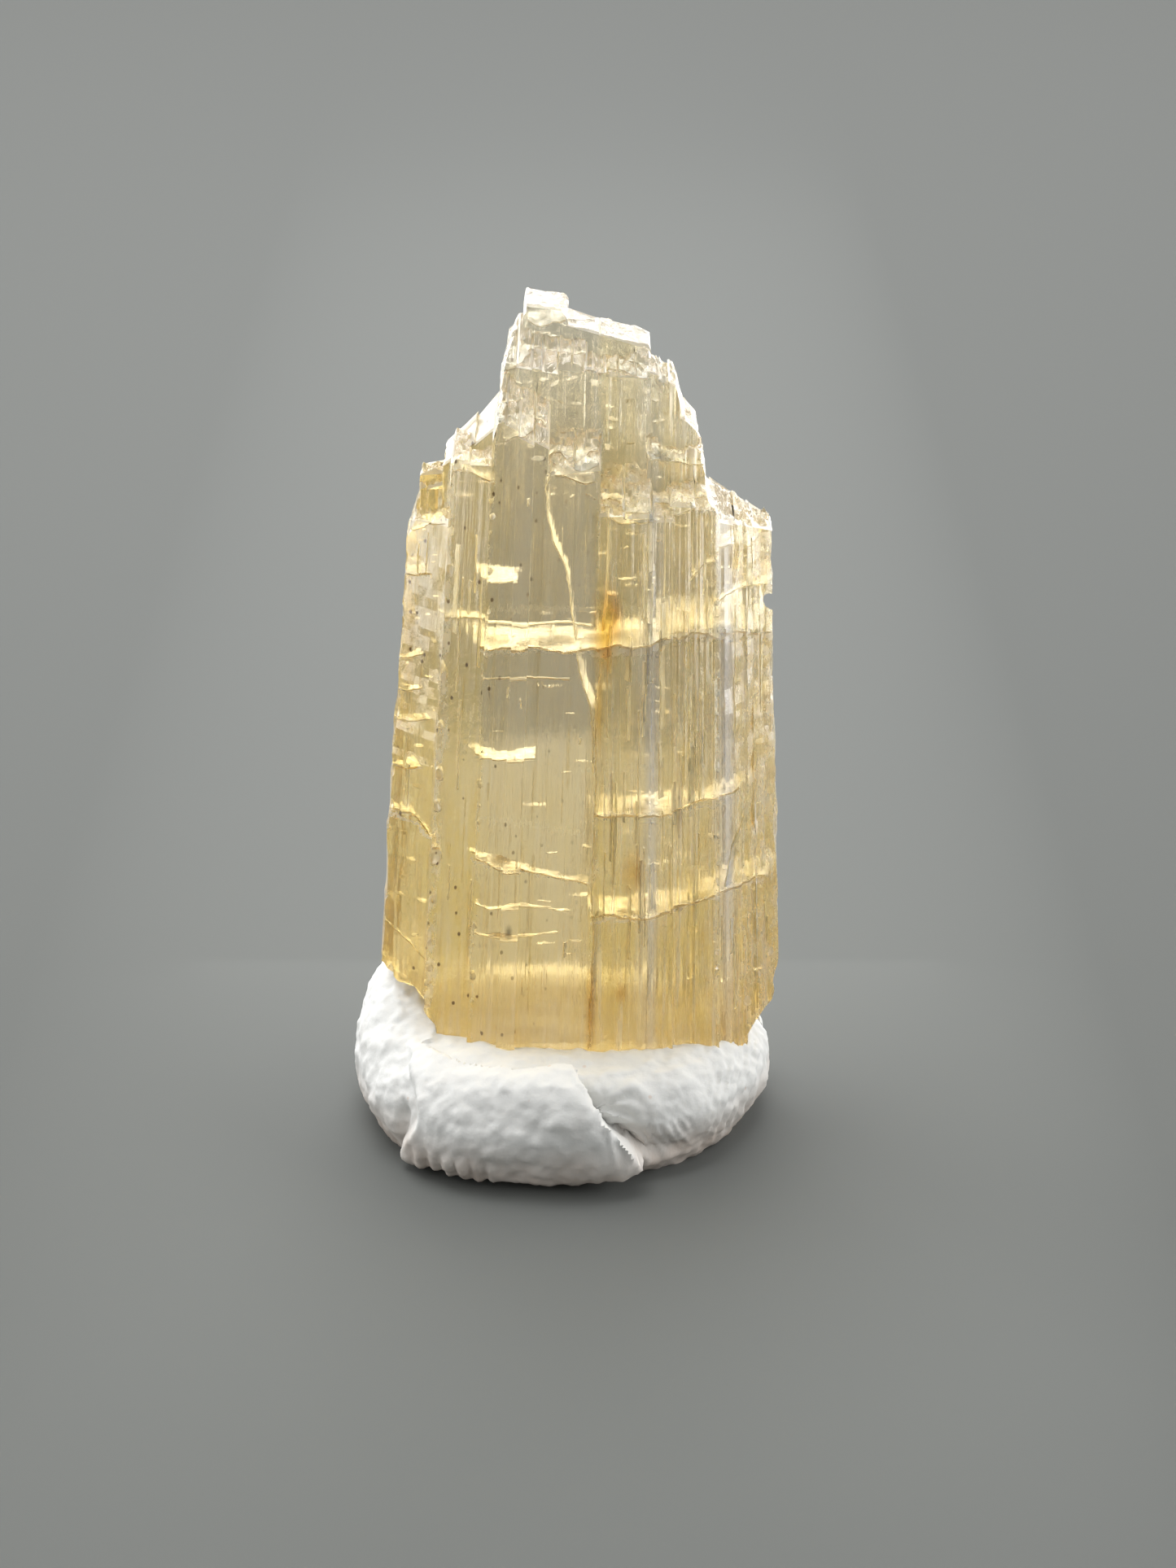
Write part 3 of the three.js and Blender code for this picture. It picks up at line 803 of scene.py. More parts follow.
def parting(chance, path, depth, mouth, waviness, slant=0.0, frosting=0.0, face=None):
    """A thin wavy gap, wide at its chipped mouth, that runs back from the front face."""
    lengths = [0.0]
    for (x0, z0), (x1, z1) in zip(path, path[1:]):
        lengths.append(lengths[-1] + math.hypot(x1 - x0, z1 - z0))
    whole = lengths[-1]
    across = [(length, x) for length, (x, z) in zip(lengths, path)]
    height = [(length, z) for length, (x, z) in zip(lengths, path)]
    rows = list(LIP_ROWS)
    lip = rows[-1]
    while rows[-1] < depth - 0.1:
        rows.append(rows[-1] + ROW_PITCH)
    columns = max(3, int(whole / (COLUMN_PITCH if waviness > 0.03 else FLAT_COLUMN_PITCH)))
    ends = [(whole * i / 8, depth * chance.uniform(0.72, 1.0)) for i in range(9)]
    widths = [(whole * i / columns, chance.uniform(0.25, 1.0)) for i in range(columns + 1)]
    bpy.ops.mesh.primitive_grid_add(
        x_subdivisions=columns, y_subdivisions=len(rows) - 1, size=1, location=(0.5, 0.5, 0)
    )
    obj = bpy.context.active_object
    deselect_all()
    group = obj.vertex_groups.new(name="open")
    for vertex in obj.data.vertices:
        length = (vertex.co.x + 0.5) * whole
        row = rows[round((vertex.co.y + 0.5) * (len(rows) - 1))]
        inward = row
        if row > lip:
            inward = lip + (row - lip) * (along(ends, length) - lip) / (rows[-1] - lip)
        x = along(across, length)
        vertex.co = (x + slant * max(inward, 0.0), face_at(x, face) + inward, along(height, length))
        group.add([vertex.index], along(widths, length) if row < lip else 0.0, "REPLACE")
    obj.location = (0, 0, 0)
    waves = relief("parting_waves", "CLOUDS", noise_scale=1.5, noise_depth=1)
    chatter = relief("parting_chatter", "CLOUDS", noise_scale=0.25, noise_depth=1)
    displaced(obj, waves, 2 * waviness)
    displaced(obj, chatter, min(0.09, 2 * waviness))
    shaped(
        obj, "SOLIDIFY", thickness=mouth, offset=1, vertex_group="open",
        thickness_vertex_group=min(0.9, THINNEST / mouth),
    )
    mark(obj, "frost", frosting)
    mark(obj, "frost", LIP_FROST, lambda f: f.center.y < face_at(f.center.x, face) + LIP_DEPTH)
    choose(obj)
    bpy.ops.object.shade_smooth_by_angle(angle=math.radians(35))
    return obj


def chip_forms():
    """A few lumpy bites of unit size, to copy."""
    bites = relief("bites", "CLOUDS", noise_scale=0.9, noise_depth=1)
    forms = []
    for i in range(5):
        bpy.ops.mesh.primitive_ico_sphere_add(subdivisions=2, radius=1, location=(3 * i, 0, 0))
        form = bpy.context.active_object
        bpy.ops.object.transform_apply(location=True, rotation=True, scale=True)
        displaced(form, bites, 0.9)
        form.data.transform(Matrix.Translation((-3 * i, 0, 0)))
        forms.append(form)
    return forms


def ball(segments, rings):
    """A coarse ball of unit size, to copy."""
    bpy.ops.mesh.primitive_uv_sphere_add(segments=segments, ring_count=rings, radius=1, location=(0, 0, 0))
    return [bpy.context.active_object]


def turned(place, size, tilt):
    """The matrix that sizes a form, tilts it (degrees about X, Y and Z) and puts it in its place."""
    return Matrix.LocRotScale(Vector(place), Euler([math.radians(a) for a in tilt]), Vector(size))


def copies(forms, places, frosting):
    """One mesh that holds a copy of a form at each place."""
    made = bmesh.new()
    for number, matrix in enumerate(places):
        made.verts.ensure_lookup_table()
        first = len(made.verts)
        made.from_mesh(forms[number % len(forms)].data)
        made.verts.ensure_lookup_table()
        bmesh.ops.transform(made, matrix=matrix, verts=made.verts[first:])
    mesh = bpy.data.meshes.new("copies")
    made.to_mesh(mesh)
    made.free()
    obj = placed("copies", mesh)
    mark(obj, "frost", frosting)
    return obj


def spread_out(places, reach_of):
    """Leaves out any place whose box would touch one kept before."""
    kept, boxes = [], []
    for place in places:
        middle, half = reach_of(place)
        box = [(m - h, m + h) for m, h in zip(middle, half)]
        if all(any(a[1] < b[0] or a[0] > b[1] for a, b in zip(box, other)) for other in boxes):
            kept.append(place)
            boxes.append(box)
    return kept


# Chips along the edges: from (across, height) to (across, height), how many and their size, and
# the depth of the face they are on where it isn't the front face.
CHIPPED_EDGES = (
    ((-4.52, 3.8), (-4.52, 20.0), 60, 0.19),
    ((-6.12, 5.5), (-6.12, 18.0), 30, 0.18),
    ((-3.08, 4.0), (-3.08, 21.5), 30, 0.1),
    ((4.85, 4.5), (4.85, 19.0), 36, 0.12),
    ((6.9, 6.0), (6.9, 19.0), 26, 0.16),
    ((5.9, 11.5), (6.4, 19.0), 16, 0.1),
    ((5.5, 3.6), (6.7, 5.8), 9, 0.15),
    ((-6.0, 4.9), (-4.4, 4.0), 9, 0.14),
    # lips of the long parting
    ((2.0, 16.3), (3.1, 16.62), 14, 0.1),
    ((3.1, 16.62), (4.0, 16.74), 12, 0.1),
    ((4.0, 16.74), (5.4, 16.5), 16, 0.1),
    ((5.4, 16.5), (6.8, 15.95), 16, 0.1),
    # front edges of the broken tops
    ((-6.0, 19.95), (-4.7, 20.15), 6, 0.2),
    ((-4.5, 21.85), (-3.2, 21.95), 7, 0.2),
    ((-2.9, 23.85), (-1.25, 23.35), 10, 0.3),
    ((-1.1, 22.3), (0.6, 22.4), 10, 0.28),
    ((0.8, 21.0), (3.2, 21.0), 14, 0.26),
    ((3.3, 20.9), (4.7, 20.8), 8, 0.22),
    ((-2.9, 24.85), (0.1, 24.75), 14, 0.26, -0.95),
    ((0.9, 24.35), (2.4, 24.35), 9, 0.24, -0.43),
    ((2.5, 23.9), (3.6, 23.45), 6, 0.2, -0.65),
    ((2.5, 22.0), (4.4, 21.9), 9, 0.22, -1.38),
)

# Wavy veils close under the broken tops, which flash in the light: left, right, front, depth
# back, height and its rise to the right.
VEILS = (
    (-4.6, -3.1, -2.6, 1.4, 21.55, 0.05),
    (-3.1, -1.3, -3.2, 1.9, 23.35, 0.1),
    (-2.8, -1.3, -3.2, 1.4, 22.9, -0.1),
    (-1.1, 0.6, -3.15, 1.7, 21.85, 0.1),
    (-0.9, 0.5, -3.15, 1.2, 21.5, 0.1),
    (0.8, 3.3, -3.25, 1.6, 20.5, 0.1),
    (1.0, 2.6, -3.25, 1.1, 20.15, 0.1),
    (3.3, 4.8, -3.0, 1.5, 20.45, -0.1),
    (4.8, 6.7, -2.2, 1.8, 19.2, -0.2),
    (-2.9, 0.1, -1.0, 1.8, 24.35, 0.1),
    (0.9, 2.4, -0.45, 1.2, 23.9, 0.1),
    (2.5, 4.4, -1.4, 0.8, 21.6, -0.1),
    (-2.1, -0.7, 1.0, 1.6, 25.3, 0.0),
    (-6.0, -4.7, -1.2, 1.2, 19.5, 0.1),
)
# Hollow needles that grew inside: left, right, lowest, highest, how deep they lie, how many.
NEEDLES = (
    (-6.0, -4.6, 6.0, 19.0, 0.9, 35),
    (-4.5, -3.1, 5.0, 21.0, 1.6, 35),
    (-3.0, 0.6, 5.0, 22.5, 2.2, 90),
    (0.8, 1.9, 4.5, 20.0, 2.2, 30),
    (1.9, 4.8, 4.5, 20.0, 2.2, 120),
    (4.8, 6.5, 6.0, 18.5, 1.4, 40),
)
# Small flakes of parting inside: left, right, front (none for the front face), how deep they lie,
# lowest, highest, most tilt and how many. Where they aren't plain, also how stretched they are
# from front to back, and how far they lean.
FLAKES = (
    (-5.9, -4.6, None, 1.2, 5.5, 19.2, 12, 26),
    (-3.0, 0.6, None, 2.5, 16.4, 17.4, 10, 16),
    (-3.0, 0.6, None, 2.5, 5.5, 15.0, 8, 16),
    (0.8, 1.9, None, 2.5, 9.0, 20.0, 12, 16),
    (1.9, 5.2, None, 2.5, 16.9, 18.2, 14, 34),
    (1.9, 6.4, None, 1.6, 5.0, 16.0, 14, 46),
    (4.9, 6.4, None, 1.6, 16.5, 19.0, 20, 22),
    (0.9, 4.7, None, 1.8, 19.0, 20.4, 28, 34),
    (-1.0, 0.5, None, 1.5, 20.8, 21.7, 28, 16),
    (-2.9, -1.3, None, 1.8, 22.0, 23.2, 28, 18),
    (-4.5, -3.2, None, 1.4, 20.6, 21.4, 20, 8),
    (-5.9, -4.8, None, 0.9, 18.7, 19.5, 25, 8),
    (-2.8, 0.0, -0.95, 1.6, 23.0, 24.2, 28, 20),
    (0.9, 3.5, -0.5, 1.4, 21.5, 23.6, 28, 24),
    (2.6, 4.3, -1.3, 1.2, 20.6, 21.6, 28, 14),
    (-2.0, -0.8, 1.1, 1.5, 24.4, 25.2, 25, 8),
    # glints close under the broken tops
    (-1.9, 0.0, -1.0, 1.2, 23.9, 24.5, 12, 22, 1.5, 20),
    (-2.8, -1.6, -3.2, 1.2, 22.4, 23.3, 12, 18, 1.5, 20),
    (0.15, 1.7, -0.6, 1.1, 23.5, 24.0, 12, 16, 1.5, 20),
    (-0.95, 0.6, None, 1.4, 21.3, 21.95, 12, 20, 1.5, 20),
    (1.0, 2.6, None, 1.4, 19.9, 20.6, 12, 24, 1.5, 20),
    (2.6, 4.6, None, 1.2, 19.7, 20.4, 12, 14, 1.5, 20),
    (2.2, 2.7, -0.7, 1.2, 22.9, 23.5, 10, 8, 1.5, 20),
    (0.8, 1.15, -0.45, 0.4, 21.6, 23.6, 12, 14, 1, 15),
    (-5.9, -5.0, None, 1.3, 17.9, 18.4, 5, 9, 2.5, 0),
    (-5.9, -4.7, None, 1.0, 6.0, 17.0, 8, 16, 1.5, 10),
    (4.9, 6.5, None, 1.3, 16.3, 18.9, 12, 20, 1.5, 15),
    (2.0, 6.3, None, 1.5, 5.0, 15.5, 8, 26, 1.5, 10),
    # the bright lip of the long parting
    (0.8, 2.1, None, 0.5, 16.0, 16.15, 8, 10, 1.2, 22),
    (2.1, 3.0, None, 0.5, 16.05, 16.3, 8, 9, 1.2, 22),
    (3.0, 5.0, None, 0.5, 16.35, 16.55, 8, 18, 1.2, 22),
    (5.0, 5.9, None, 0.5, 16.1, 16.35, 8, 9, 1.2, 22),
    (5.9, 6.7, None, 0.5, 15.75, 16.0, 8, 8, 1.2, 22),
)
FLAKE_THICKNESS = 0.028
# Bands of the face with fine upright partings: left, right, lowest, highest, longest and how many.
RIBBED = (
    (0.9, 1.9, 6.0, 19.0, 3.5, 8), (1.9, 3.3, 6.0, 19.5, 3.5, 22), (3.3, 4.85, 6.0, 19.5, 3.5, 28),
    (4.9, 5.4, 3.6, 19.0, 3.5, 3), (5.4, 6.6, 5.0, 18.5, 3.0, 14), (-3.0, 0.6, 6.0, 21.0, 0.6, 5),
    (-4.4, -3.2, 6.0, 20.0, 3.0, 9), (-6.0, -4.6, 5.0, 19.0, 1.5, 5),
)

# Outlines of what has broken off the corners, seen from the front.
BROKEN_CORNERS = (
    # lower left, where the outer blades end above the pad
    ((-8.5, -1), (-4.1, -1), (-4.2, 3.75), (-4.55, 4.3), (-4.95, 4.55), (-5.6, 4.62), (-6.0, 5.0),
     (-8.5, 5.6)),
    # lower right
    ((5.45, -1), (9, -1), (9, 5.7), (6.95, 5.6), (6.6, 3.95), (6.2, 3.6), (5.75, 3.1)),
    # upper left shoulder of the outer blade
    ((-6.6, 18.7), (-6.05, 19.0), (-5.72, 20.2), (-5.72, 22.5), (-6.6, 22.5)),
    # left side of the crown
    ((-3.7, 22.3), (-3.13, 22.7), (-2.92, 23.87), (-2.7, 24.8), (-2.22, 25.55), (-2.22, 27), (-3.7, 27)),
    # right side of the crown
    ((-1.2, 27), (-1.15, 25.8), (-0.85, 25.68), (-0.62, 25.45), (-0.5, 25.22), (0.53, 25.0), (1.68, 24.75),
     (2.48, 24.48), (2.95, 24.2), (3.35, 23.85),
     (3.54, 23.3), (3.71, 22.75), (4.15, 22.42), (4.32, 22.0), (4.42, 21.35), (4.5, 20.6), (4.9, 20.35),
     (8.5, 20.2), (8.5, 27)),
)
NOTCH = (6.8, -0.75, 17.1)  # small bite out of the right edge: across, depth, height
NOTCH_RADIUS = 0.3
CAMERA_PITCH = 68  # degrees up from straight down; the small bite lies along the same line


def broken_corner(outline):
    """What broke off a corner, with a rippled face where it parted."""
    mesh = bpy.data.meshes.new("corner")
    mesh.from_pydata([(x, 4.2, z) for x, z in outline], [], [range(len(outline))])
    obj = placed("corner", mesh)
    edit(obj)
    bpy.ops.mesh.select_all(action="SELECT")
    bpy.ops.mesh.extrude_region_move(TRANSFORM_OT_translate={"value": (0, -8.4, 0)})
    bpy.ops.mesh.select_all(action="SELECT")
    bpy.ops.mesh.normals_make_consistent(inside=False)
    bpy.ops.object.mode_set(mode="OBJECT")
    shaped(obj, "REMESH", mode="VOXEL", voxel_size=0.16)
    ripples = relief("corner_ripples", "CLOUDS", noise_scale=0.8, noise_depth=2)
    displaced(obj, ripples, 0.35)
    mark(obj, "frost", CORNER_FROST)
    smooth(obj)
    return obj


def veil(left, right, face, depth, height, rise, chance):
    """A wavy parting that runs back, nearly level, close under a broken top."""
    path = [
        (left + (right - left) * i / 4, height + rise * i / 4 + chance.uniform(-0.08, 0.08)) for i in range(5)
    ]
    return parting(chance, path, depth, 0.04, 0.45, face=face)


def rib(low, high, bottom, top, longest, chance):
    """A fine upright parting somewhere in a band of the face."""
    x, z = chance.uniform(low, high), chance.uniform(bottom, top)
    length = chance.uniform(0.3, 1) * longest
    path = [(x + chance.uniform(-0.02, 0.02), z + length * k / 5) for k in range(6)]
    slant = chance.choice((-1, 1)) * chance.uniform(0.1, 0.5)
    return parting(chance, path, chance.uniform(0.15, 0.4), 0.045, 0.01, slant, LIP_FROST)


def chips(chance):
    """Place, size and tilt of each chip along the edges."""
    rows = []
    for (x0, z0), (x1, z1), count, size, *face in CHIPPED_EDGES:
        for i in range(count):
            share = chance.random()
            x = x0 + (x1 - x0) * share + chance.uniform(-0.05, 0.05)
            y = face_at(x, *face) + chance.uniform(-0.05, 0.05)
            wide = size * chance.uniform(0.5, 1.2)
            half = (wide, 0.7 * wide, wide * chance.uniform(0.8, 1.9))
            tilt = [chance.uniform(-25, 25) for axis in range(3)]
            rows.append(((x, y, z0 + (z1 - z0) * share), half, tilt))
    return spread_out(rows, lambda row: (row[0], [1.6 * h for h in row[1]]))


def needles(chance):
    """Place, size and tilt of each hollow needle."""
    rows = []
    for low, high, bottom, top, deep, count in NEEDLES:
        for i in range(count):
            x, z = chance.uniform(low, high), chance.uniform(bottom, top)
            radius, length = chance.uniform(0.012, 0.03), chance.uniform(0.3, 1.8)
            y = face_at(x) + 0.12 + chance.uniform(0, deep)
            rows.append(((x, y, z), (radius, radius, length), (0, 0, 0)))
    return spread_out(rows, lambda row: (row[0], row[1]))


def flakes(chance):
    """Place, size and tilt of each flake of parting."""
    rows = []
    for low, high, face, deep, bottom, top, tilt, count, *bent in FLAKES:
        length, lean = bent or (1, 0)
        for i in range(count):
            x, z = chance.uniform(low, high), chance.uniform(bottom, top)
            y = face_at(x, face) + chance.uniform(0.2, deep)
            half = (chance.uniform(0.06, 0.3), chance.uniform(0.06, 0.22) * length, FLAKE_THICKNESS / 2)
            turn = (lean + chance.uniform(-tilt, tilt), chance.uniform(-tilt, tilt), 0)
            rows.append(((x, y, z), half, turn))
    return spread_out(rows, lambda row: (row[0], (row[1][0], row[1][1], 0.06 + 0.5 * row[1][1])))


def breakage(chance):
    """Everything that parted from the crystal or was chipped off it, as one solid to cut away."""
    pieces = [parting(chance, *row) for row in PARTINGS]
    pieces += [veil(*row, chance) for row in VEILS]
    for *band, count in RIBBED:
        pieces += [rib(*band, chance) for i in range(count)]
    for forms, rows, frosting in (
        (chip_forms(), chips(chance), CHIP_FROST),
        (ball(5, 4), needles(chance), 0.0),
        (ball(8, 3), flakes(chance), 0.0),
    ):
        pieces.append(copies(forms, [turned(*row) for row in rows], frosting))
        for form in forms:
            bpy.data.objects.remove(form)
    return grown_together(pieces)


def broken_corners():
    """What broke off the corners, and the small bite out of the right edge, as one solid."""
    pieces = [broken_corner(outline) for outline in BROKEN_CORNERS]
    bpy.ops.mesh.primitive_cylinder_add(
        vertices=20, radius=NOTCH_RADIUS, depth=8, location=NOTCH, rotation=(math.radians(CAMERA_PITCH), 0, 0)
    )
    notch = bpy.context.active_object
    bpy.ops.object.transform_apply(location=True, rotation=True, scale=True)
    mark(notch, "frost", NOTCH_FROST)
    pieces.append(notch)
    return grown_together(pieces)


def remember_grain(obj):
    """Keeps each point's place before the taper, so that a pattern follows the blades."""
    grain = obj.data.attributes.new("grain", "FLOAT_VECTOR", "POINT")
    places = [0.0] * (3 * len(obj.data.vertices))
    obj.data.vertices.foreach_get("co", places)
    grain.data.foreach_set("vector", places)


DEPTH_TAPER = 0.004  # share of the depth lost per millimetre of height


def taper_and_lean(obj, settings):
    """Narrows the piece upwards and leans it to the right."""
    for vertex in obj.data.vertices:
        x, y, z = vertex.co
        vertex.co.x = x * (1 - settings.taper * z) + settings.lean * z
        vertex.co.y = y * (1 - DEPTH_TAPER * z)


class SPECIMEN_OT_crystal(bpy.types.Operator):
    """Adds the striated crystal with its stepped, broken top"""

    bl_idname = "specimen.crystal"
    bl_label = "Crystal"

    def execute(self, context):
        settings = context.scene.crystal_settings
        chance = random.Random(7)
        deselect_all()
        obj = grown_blades(chance)
        striate(obj, settings, chance)
        cut(obj, broken_corners())
        foot_form = duplicate(obj)
        foot_form.name = "foot_form"
        cut(obj, breakage(chance))
        drop_crumbs(obj)
        remember_grain(obj)
        for shape in (obj, foot_form):
            taper_and_lean(shape, settings)
        finished(obj, "scapolite_crystal", crystal_material(settings))
        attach(obj, "root")
        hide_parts("crystal")
        return {"FINISHED"}


# ---------------------------------------------------------------- the tack

PAD_CENTRE = (-0.15, 0.1)
# Section of the pad before it was pressed: share of the radius, share of the height.
PAD_SECTION = (
    (0, -0.14), (0.35, -0.14), (0.65, -0.14), (0.82, -0.12), (0.895, 0.0), (0.95, 0.14), (0.985, 0.29),
    (1.0, 0.43), (0.993, 0.57), (0.968, 0.7), (0.928, 0.82), (0.87, 0.92), (0.8, 0.975), (0.7, 1.0),
    (0.6, 1.01), (0.45, 1.0), (0.2, 1.0), (0, 1.0),
)
PAD_VOXEL = 0.085
SOCKET_GAP = 0.02  # how far beyond the crystal its socket is cut
PIT = (0.88, 2.62)  # small hole at the head of the fold: across, height


def eased(value):
    """0 below 0, 1 above 1, and smooth between."""
    value = min(1.0, max(0.0, value))
    return value * value * (3 - 2 * value)


def window(value, low, high, edge):
    """1 between low and high, easing to 0 over an edge outside them."""
    return eased((value - low + edge) / edge) * eased((high + edge - value) / edge)


# Plan of the crystal's back, across and back.
BACK = ((-6.1, 0.6), (-4.9, 2.0), (-3.0, 3.1), (2.6, 3.2), (4.5, 2.6), (6.8, 0.8))


def sunk(x, y):
    """How far the top dips behind the crystal, where it was pushed down with a tool."""
    return 2.1 * eased((1.7 - (y - along(BACK, x))) / 1.7) * eased((y - 0.8) / 0.8) * eased((x + 5.2) / 1.4)


def bell(value, width):
    """1 at nought, falling away to either side."""
    return math.exp(-((value / width) ** 2))


def finger_ridges(x, z, wide, tall, height, phase):
    """How far the finger ridges of a patch stand out at this phase of their wave."""
    return height * (window(x, *wide) * window(z, *tall)) * math.sin(phase)


def pressed(settings, x, y, z):
    """How far the fingers and the fold moved the skin outwards at a place on the front."""
    if y > 0:
        return 0.0
    share = eased(-y / 1.5)
    crease = 0.25 + (settings.height - z) * 0.92
    away = crease - x + 0.06 * math.sin(5 * z)
    on_flap = eased(away / 0.14) * eased((x + 4.75 + 0.25 * math.sin(2.2 * z)) / 0.35)
    swell = 0.45 + 0.55 * bell(away - 0.5, 1.6)
    lower = eased((z - 0.25 - 0.28 * max(0.0, x - 0.2)) / 0.25)
    move = settings.fold * on_flap * swell * lower * eased((3.5 - z) / 0.9 + 0.25)
    move -= 0.42 * bell(away + 0.12, 0.12) * window(z, 1.15, 2.9, 0.3)
    move -= 0.25 * bell(x + 4.95, 0.16) * window(z, 0.6, 1.9, 0.4)
    # the hollow beside the flap, and the pit at its head
    beside = max(0.0, x - crease)
    move -= 0.4 * eased((x - crease + 0.1) / 0.15) * bell(beside, 1.1) * window(z, 0.9, 2.6, 0.5)
    move -= 0.2 * math.exp(-(((x - crease - 0.45) / 0.4) ** 2) - ((z - 1.65) / 0.4) ** 2)
    pit = math.hypot(x - PIT[0], z - PIT[1])
    move -= 0.4 * bell(pit, 0.16)
    # wrinkles that fan out from the pit
    turn = math.atan2(z - PIT[1], x - PIT[0])
    fan = window(pit, 0.35, 1.3, 0.35) * window(turn, -1.1, 0.35, 0.3)
    move += 0.055 * fan * math.sin(17 * turn + 2.5 * pit)
    # finger ridges at the lower left and round the right end
    turns = 2 * math.pi
    move += finger_ridges(x, z, (-4.3, -2.2, 0.3), (0.25, 1.0, 0.35), 0.06, turns * x / 0.43 + 0.5 * z)
    move += finger_ridges(x, z, (4.7, 6.3, 0.4), (0.9, 2.5, 0.4), 0.04, turns * (x - 0.35 * z) / 0.3)
    move += finger_ridges(x, z, (2.6, 3.7, 0.3), (0.9, 1.7, 0.3), 0.03, turns * (x + 0.5 * z) / 0.28)
    return move * share


class SPECIMEN_OT_tack_pad(bpy.types.Operator):
    """Adds the pad of mineral tack, pressed and folded round the crystal's foot"""

    bl_idname = "specimen.tack_pad"
    bl_label = "Tack pad"

    def execute(self, context):
        settings = context.scene.tack_settings
        form = bpy.data.objects.get("foot_form")
        if form is None:
            raise RuntimeError("The tack is pressed round the crystal, so add the crystal first")
        deselect_all()
        mesh = bpy.data.meshes.new("pad")
        section = [(r * settings.radius, 0, z * settings.height) for r, z in PAD_SECTION]
        mesh.from_pydata(section, [(i, i + 1) for i in range(len(section) - 1)], [])
        obj = placed("pad", mesh)
        edit(obj)
        bpy.ops.mesh.select_all(action="SELECT")
        bpy.ops.mesh.spin(steps=96, angle=2 * math.pi, center=(0, 0, 0), axis=(0, 0, 1))
        bpy.ops.mesh.select_all(action="SELECT")
        bpy.ops.mesh.remove_doubles(threshold=0.001)
        bpy.ops.mesh.normals_make_consistent(inside=False)
        bpy.ops.object.mode_set(mode="OBJECT")
        for vertex in obj.data.vertices:
            x, y, z = vertex.co
            angle = math.atan2(y, x)
            share = 1 + 0.018 * math.sin(2 * angle + 0.7) + 0.012 * math.sin(3 * angle + 2.1)
            share += 0.01 * math.sin(5 * angle)
            x, y = x * share + PAD_CENTRE[0], y * share + PAD_CENTRE[1]
            mound = 1.5 * math.exp(-(((x + 5.1) / 1.6) ** 2) - ((y - 0.7) / 2.6) ** 2)
            ripples = 0.09 * math.sin(0.9 * x + 0.5) * math.cos(0.8 * y - 0.3)
            vertex.co = (x, y, z * (1 + (mound + ripples) / settings.height))
        shaped(obj, "REMESH", mode="VOXEL", voxel_size=PAD_VOXEL)
        obj.data.update()
        moves = [
            vertex.normal * pressed(settings, *vertex.co) if abs(vertex.normal.z) < 0.97 else Vector()
            for vertex in obj.data.vertices
        ]
        for vertex, move in zip(obj.data.vertices, moves):
            if vertex.co.z > 2.2:
                move.z -= sunk(vertex.co.x, vertex.co.y)
            vertex.co += move
        for kind, scale, share in (("CLOUDS", 1.1, 2.2), ("MUSGRAVE", 0.45, 0.35), ("CLOUDS", 0.22, 0.4)):
            depth = {"noise_depth": 2} if kind == "CLOUDS" else {}
            displaced(obj, relief("tack_crumple", kind, noise_scale=scale, **depth), share * settings.crumple)
        edit(obj)
        bpy.ops.mesh.select_all(action="SELECT")
        bpy.ops.mesh.bisect(plane_co=(0, 0, 0), plane_no=(0, 0, 1), clear_inner=True, use_fill=True)
        bpy.ops.object.mode_set(mode="OBJECT")
        cut(form, block((-12, -12, 7), (12, 12, 30)))
        shaped(form, "DISPLACE", strength=SOCKET_GAP, mid_level=0, direction="NORMAL")
        cut(obj, form)
        choose(obj)
        bpy.ops.object.shade_smooth_by_angle(angle=math.radians(50))
        finished(obj, "mineral_tack", tack_material(settings))
        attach(obj, "root")
        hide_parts("tack_pad")
        return {"FINISHED"}


# ---------------------------------------------------------------- the stage


def softbox(name, location, target, width, height, brightness):
    """A soft rectangular light that the camera doesn't see, as bright as asked wherever it stands."""
    bpy.ops.object.light_add(type="AREA", location=location)
    light = bpy.context.active_object
    light.name = name
    light.data.shape = "RECTANGLE"
    light.data.size = width
    light.data.size_y = height
    light.data.energy = brightness * math.pi * width * height
    light.rotation_euler = (Vector(target) - Vector(location)).to_track_quat("-Z", "Y").to_euler()
    light.visible_camera = False
    return light


CAMERA_PLACE = (0.000737, -0.105926, 0.053635)
ROOM_COLOUR = (0.95, 0.96, 0.95, 1)


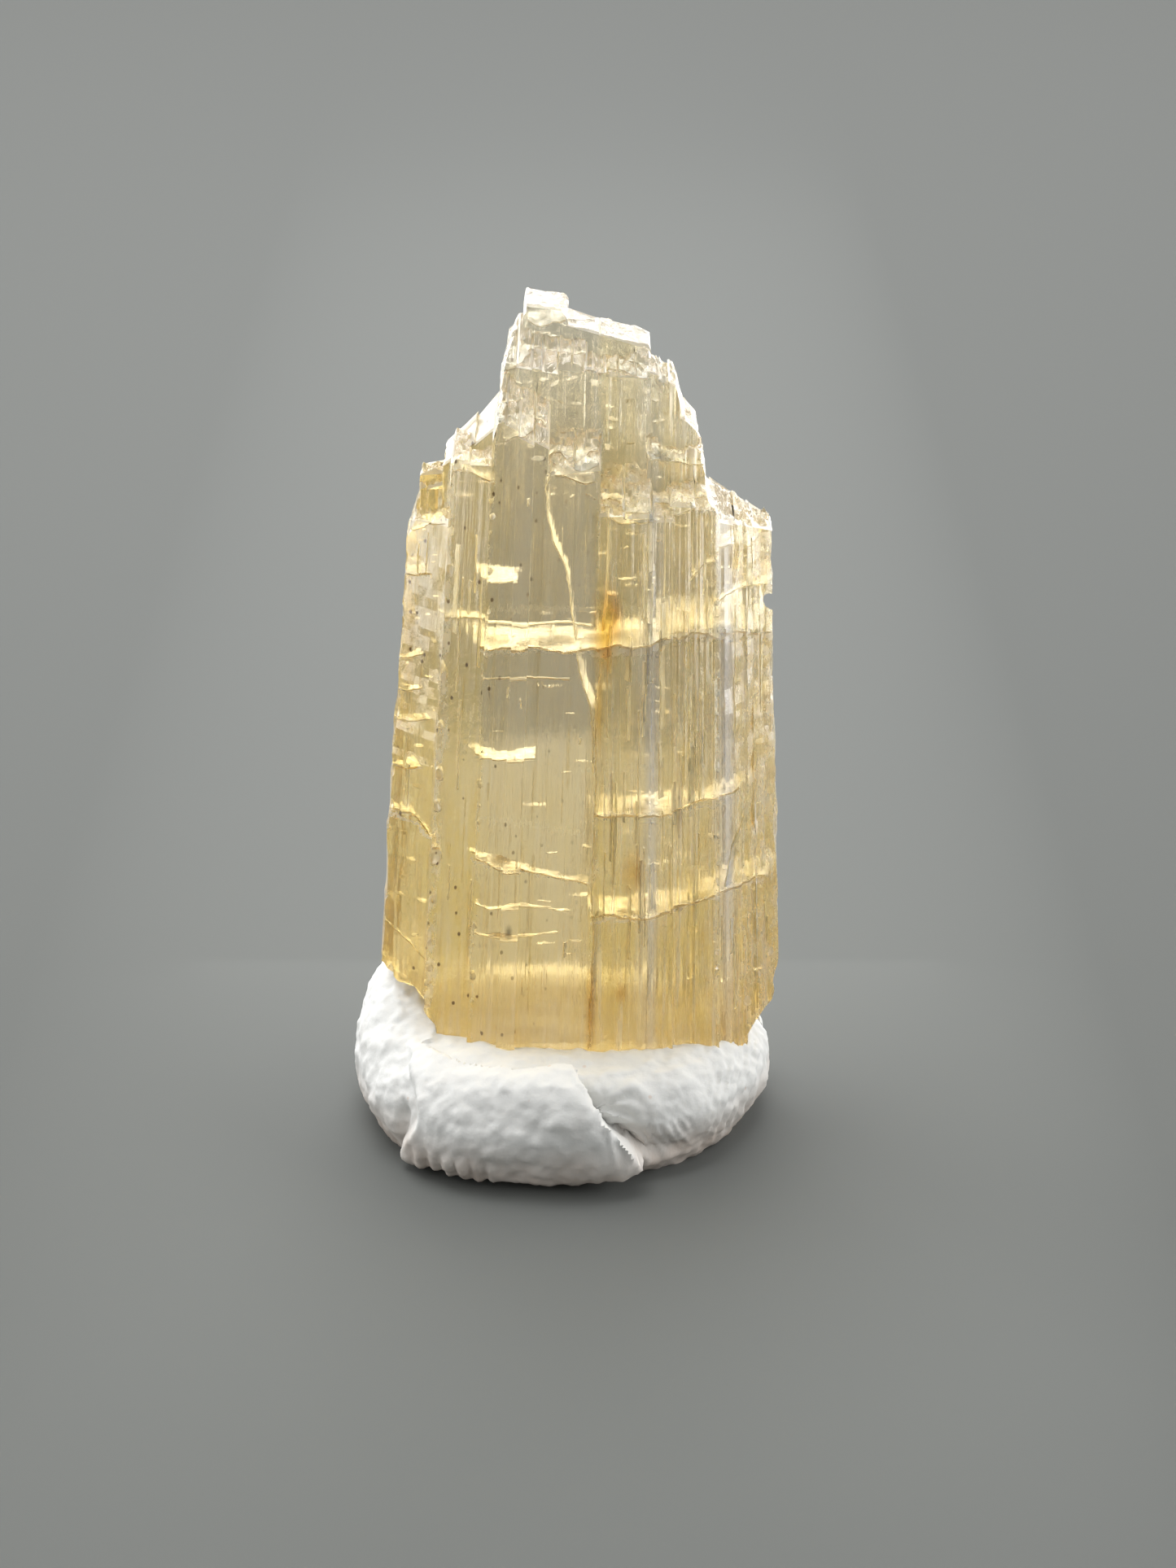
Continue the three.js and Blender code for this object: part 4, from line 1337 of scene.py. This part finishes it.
class SPECIMEN_OT_stage(bpy.types.Operator):
    """Adds the plain floor, the soft lights and the camera"""

    bl_idname = "specimen.stage"
    bl_label = "Stage"

    def execute(self, context):
        settings = context.scene.stage_settings
        deselect_all()
        bpy.ops.mesh.primitive_plane_add(size=4, location=(0, 0, 0))
        floor = context.active_object
        floor.name = "floor"
        material = bpy.data.materials.new("plain_floor")
        material.use_nodes = True
        shader = material.node_tree.nodes["Principled BSDF"]
        shader.inputs["Base Color"].default_value = (*settings.floor_colour, 1)
        shader.inputs["Roughness"].default_value = 0.9
        floor.data.materials.append(material)
        softbox("overhead", (-0.05, 0.1, 0.33), (0, 0, 0.01), 0.3, 0.26, settings.key)
        softbox("behind", (0.0, 0.4, 0.2), (0, 0, 0.34), 0.34, 0.26, settings.back)
        softbox("left", (-0.05, 0.05, 0.035), (0, 0.05, 0.08), 0.16, 0.07, settings.left)
        softbox("right", (0.05, 0.05, 0.035), (0, 0.05, 0.08), 0.16, 0.07, settings.right)
        softbox("low", (0.0, 0.012, 0.004), (0, 0, 0.008), 0.026, 0.008, settings.low)
        world = bpy.data.worlds.new("room")
        world.use_nodes = True
        background = world.node_tree.nodes["Background"]
        background.inputs["Color"].default_value = ROOM_COLOUR
        background.inputs["Strength"].default_value = settings.room
        context.scene.world = world
        bpy.ops.object.camera_add(location=CAMERA_PLACE, rotation=(math.radians(CAMERA_PITCH), 0, 0))
        camera = context.active_object
        camera.name = "camera"
        camera.data.lens = 85.0
        camera.data.sensor_width = 36.0
        camera.data.clip_start = 0.005
        context.scene.camera = camera
        context.scene.view_settings.view_transform = "Standard"
        return {"FINISHED"}


class SPECIMEN_PT_panel(bpy.types.Panel):
    """Lists the pieces of the specimen"""

    bl_idname = "SPECIMEN_PT_panel"
    bl_label = "Scapolite Crystal"
    bl_space_type = "VIEW_3D"
    bl_region_type = "UI"
    bl_category = "Specimen"

    def draw(self, context):
        layout = self.layout
        scene = context.scene
        for settings in (scene.crystal_settings, scene.tack_settings, scene.stage_settings):
            box = layout.box()
            for name in settings.__annotations__:
                box.prop(settings, name)
        layout.operator(SPECIMEN_OT_stage.bl_idname)
        layout.operator(SPECIMEN_OT_crystal.bl_idname)
        layout.operator(SPECIMEN_OT_tack_pad.bl_idname)


CLASSES = (
    CrystalSettings,
    TackSettings,
    StageSettings,
    SPECIMEN_OT_stage,
    SPECIMEN_OT_crystal,
    SPECIMEN_OT_tack_pad,
    SPECIMEN_PT_panel,
)


def register():
    for cls in CLASSES:
        bpy.utils.register_class(cls)
    bpy.types.Scene.crystal_settings = bpy.props.PointerProperty(type=CrystalSettings)
    bpy.types.Scene.tack_settings = bpy.props.PointerProperty(type=TackSettings)
    bpy.types.Scene.stage_settings = bpy.props.PointerProperty(type=StageSettings)


def unregister():
    del bpy.types.Scene.stage_settings
    del bpy.types.Scene.tack_settings
    del bpy.types.Scene.crystal_settings
    for cls in reversed(CLASSES):
        bpy.utils.unregister_class(cls)


def main():
    register()
    bpy.ops.specimen.stage()
    bpy.ops.specimen.crystal()
    bpy.ops.specimen.tack_pad()


if __name__ == "__main__":
    main()
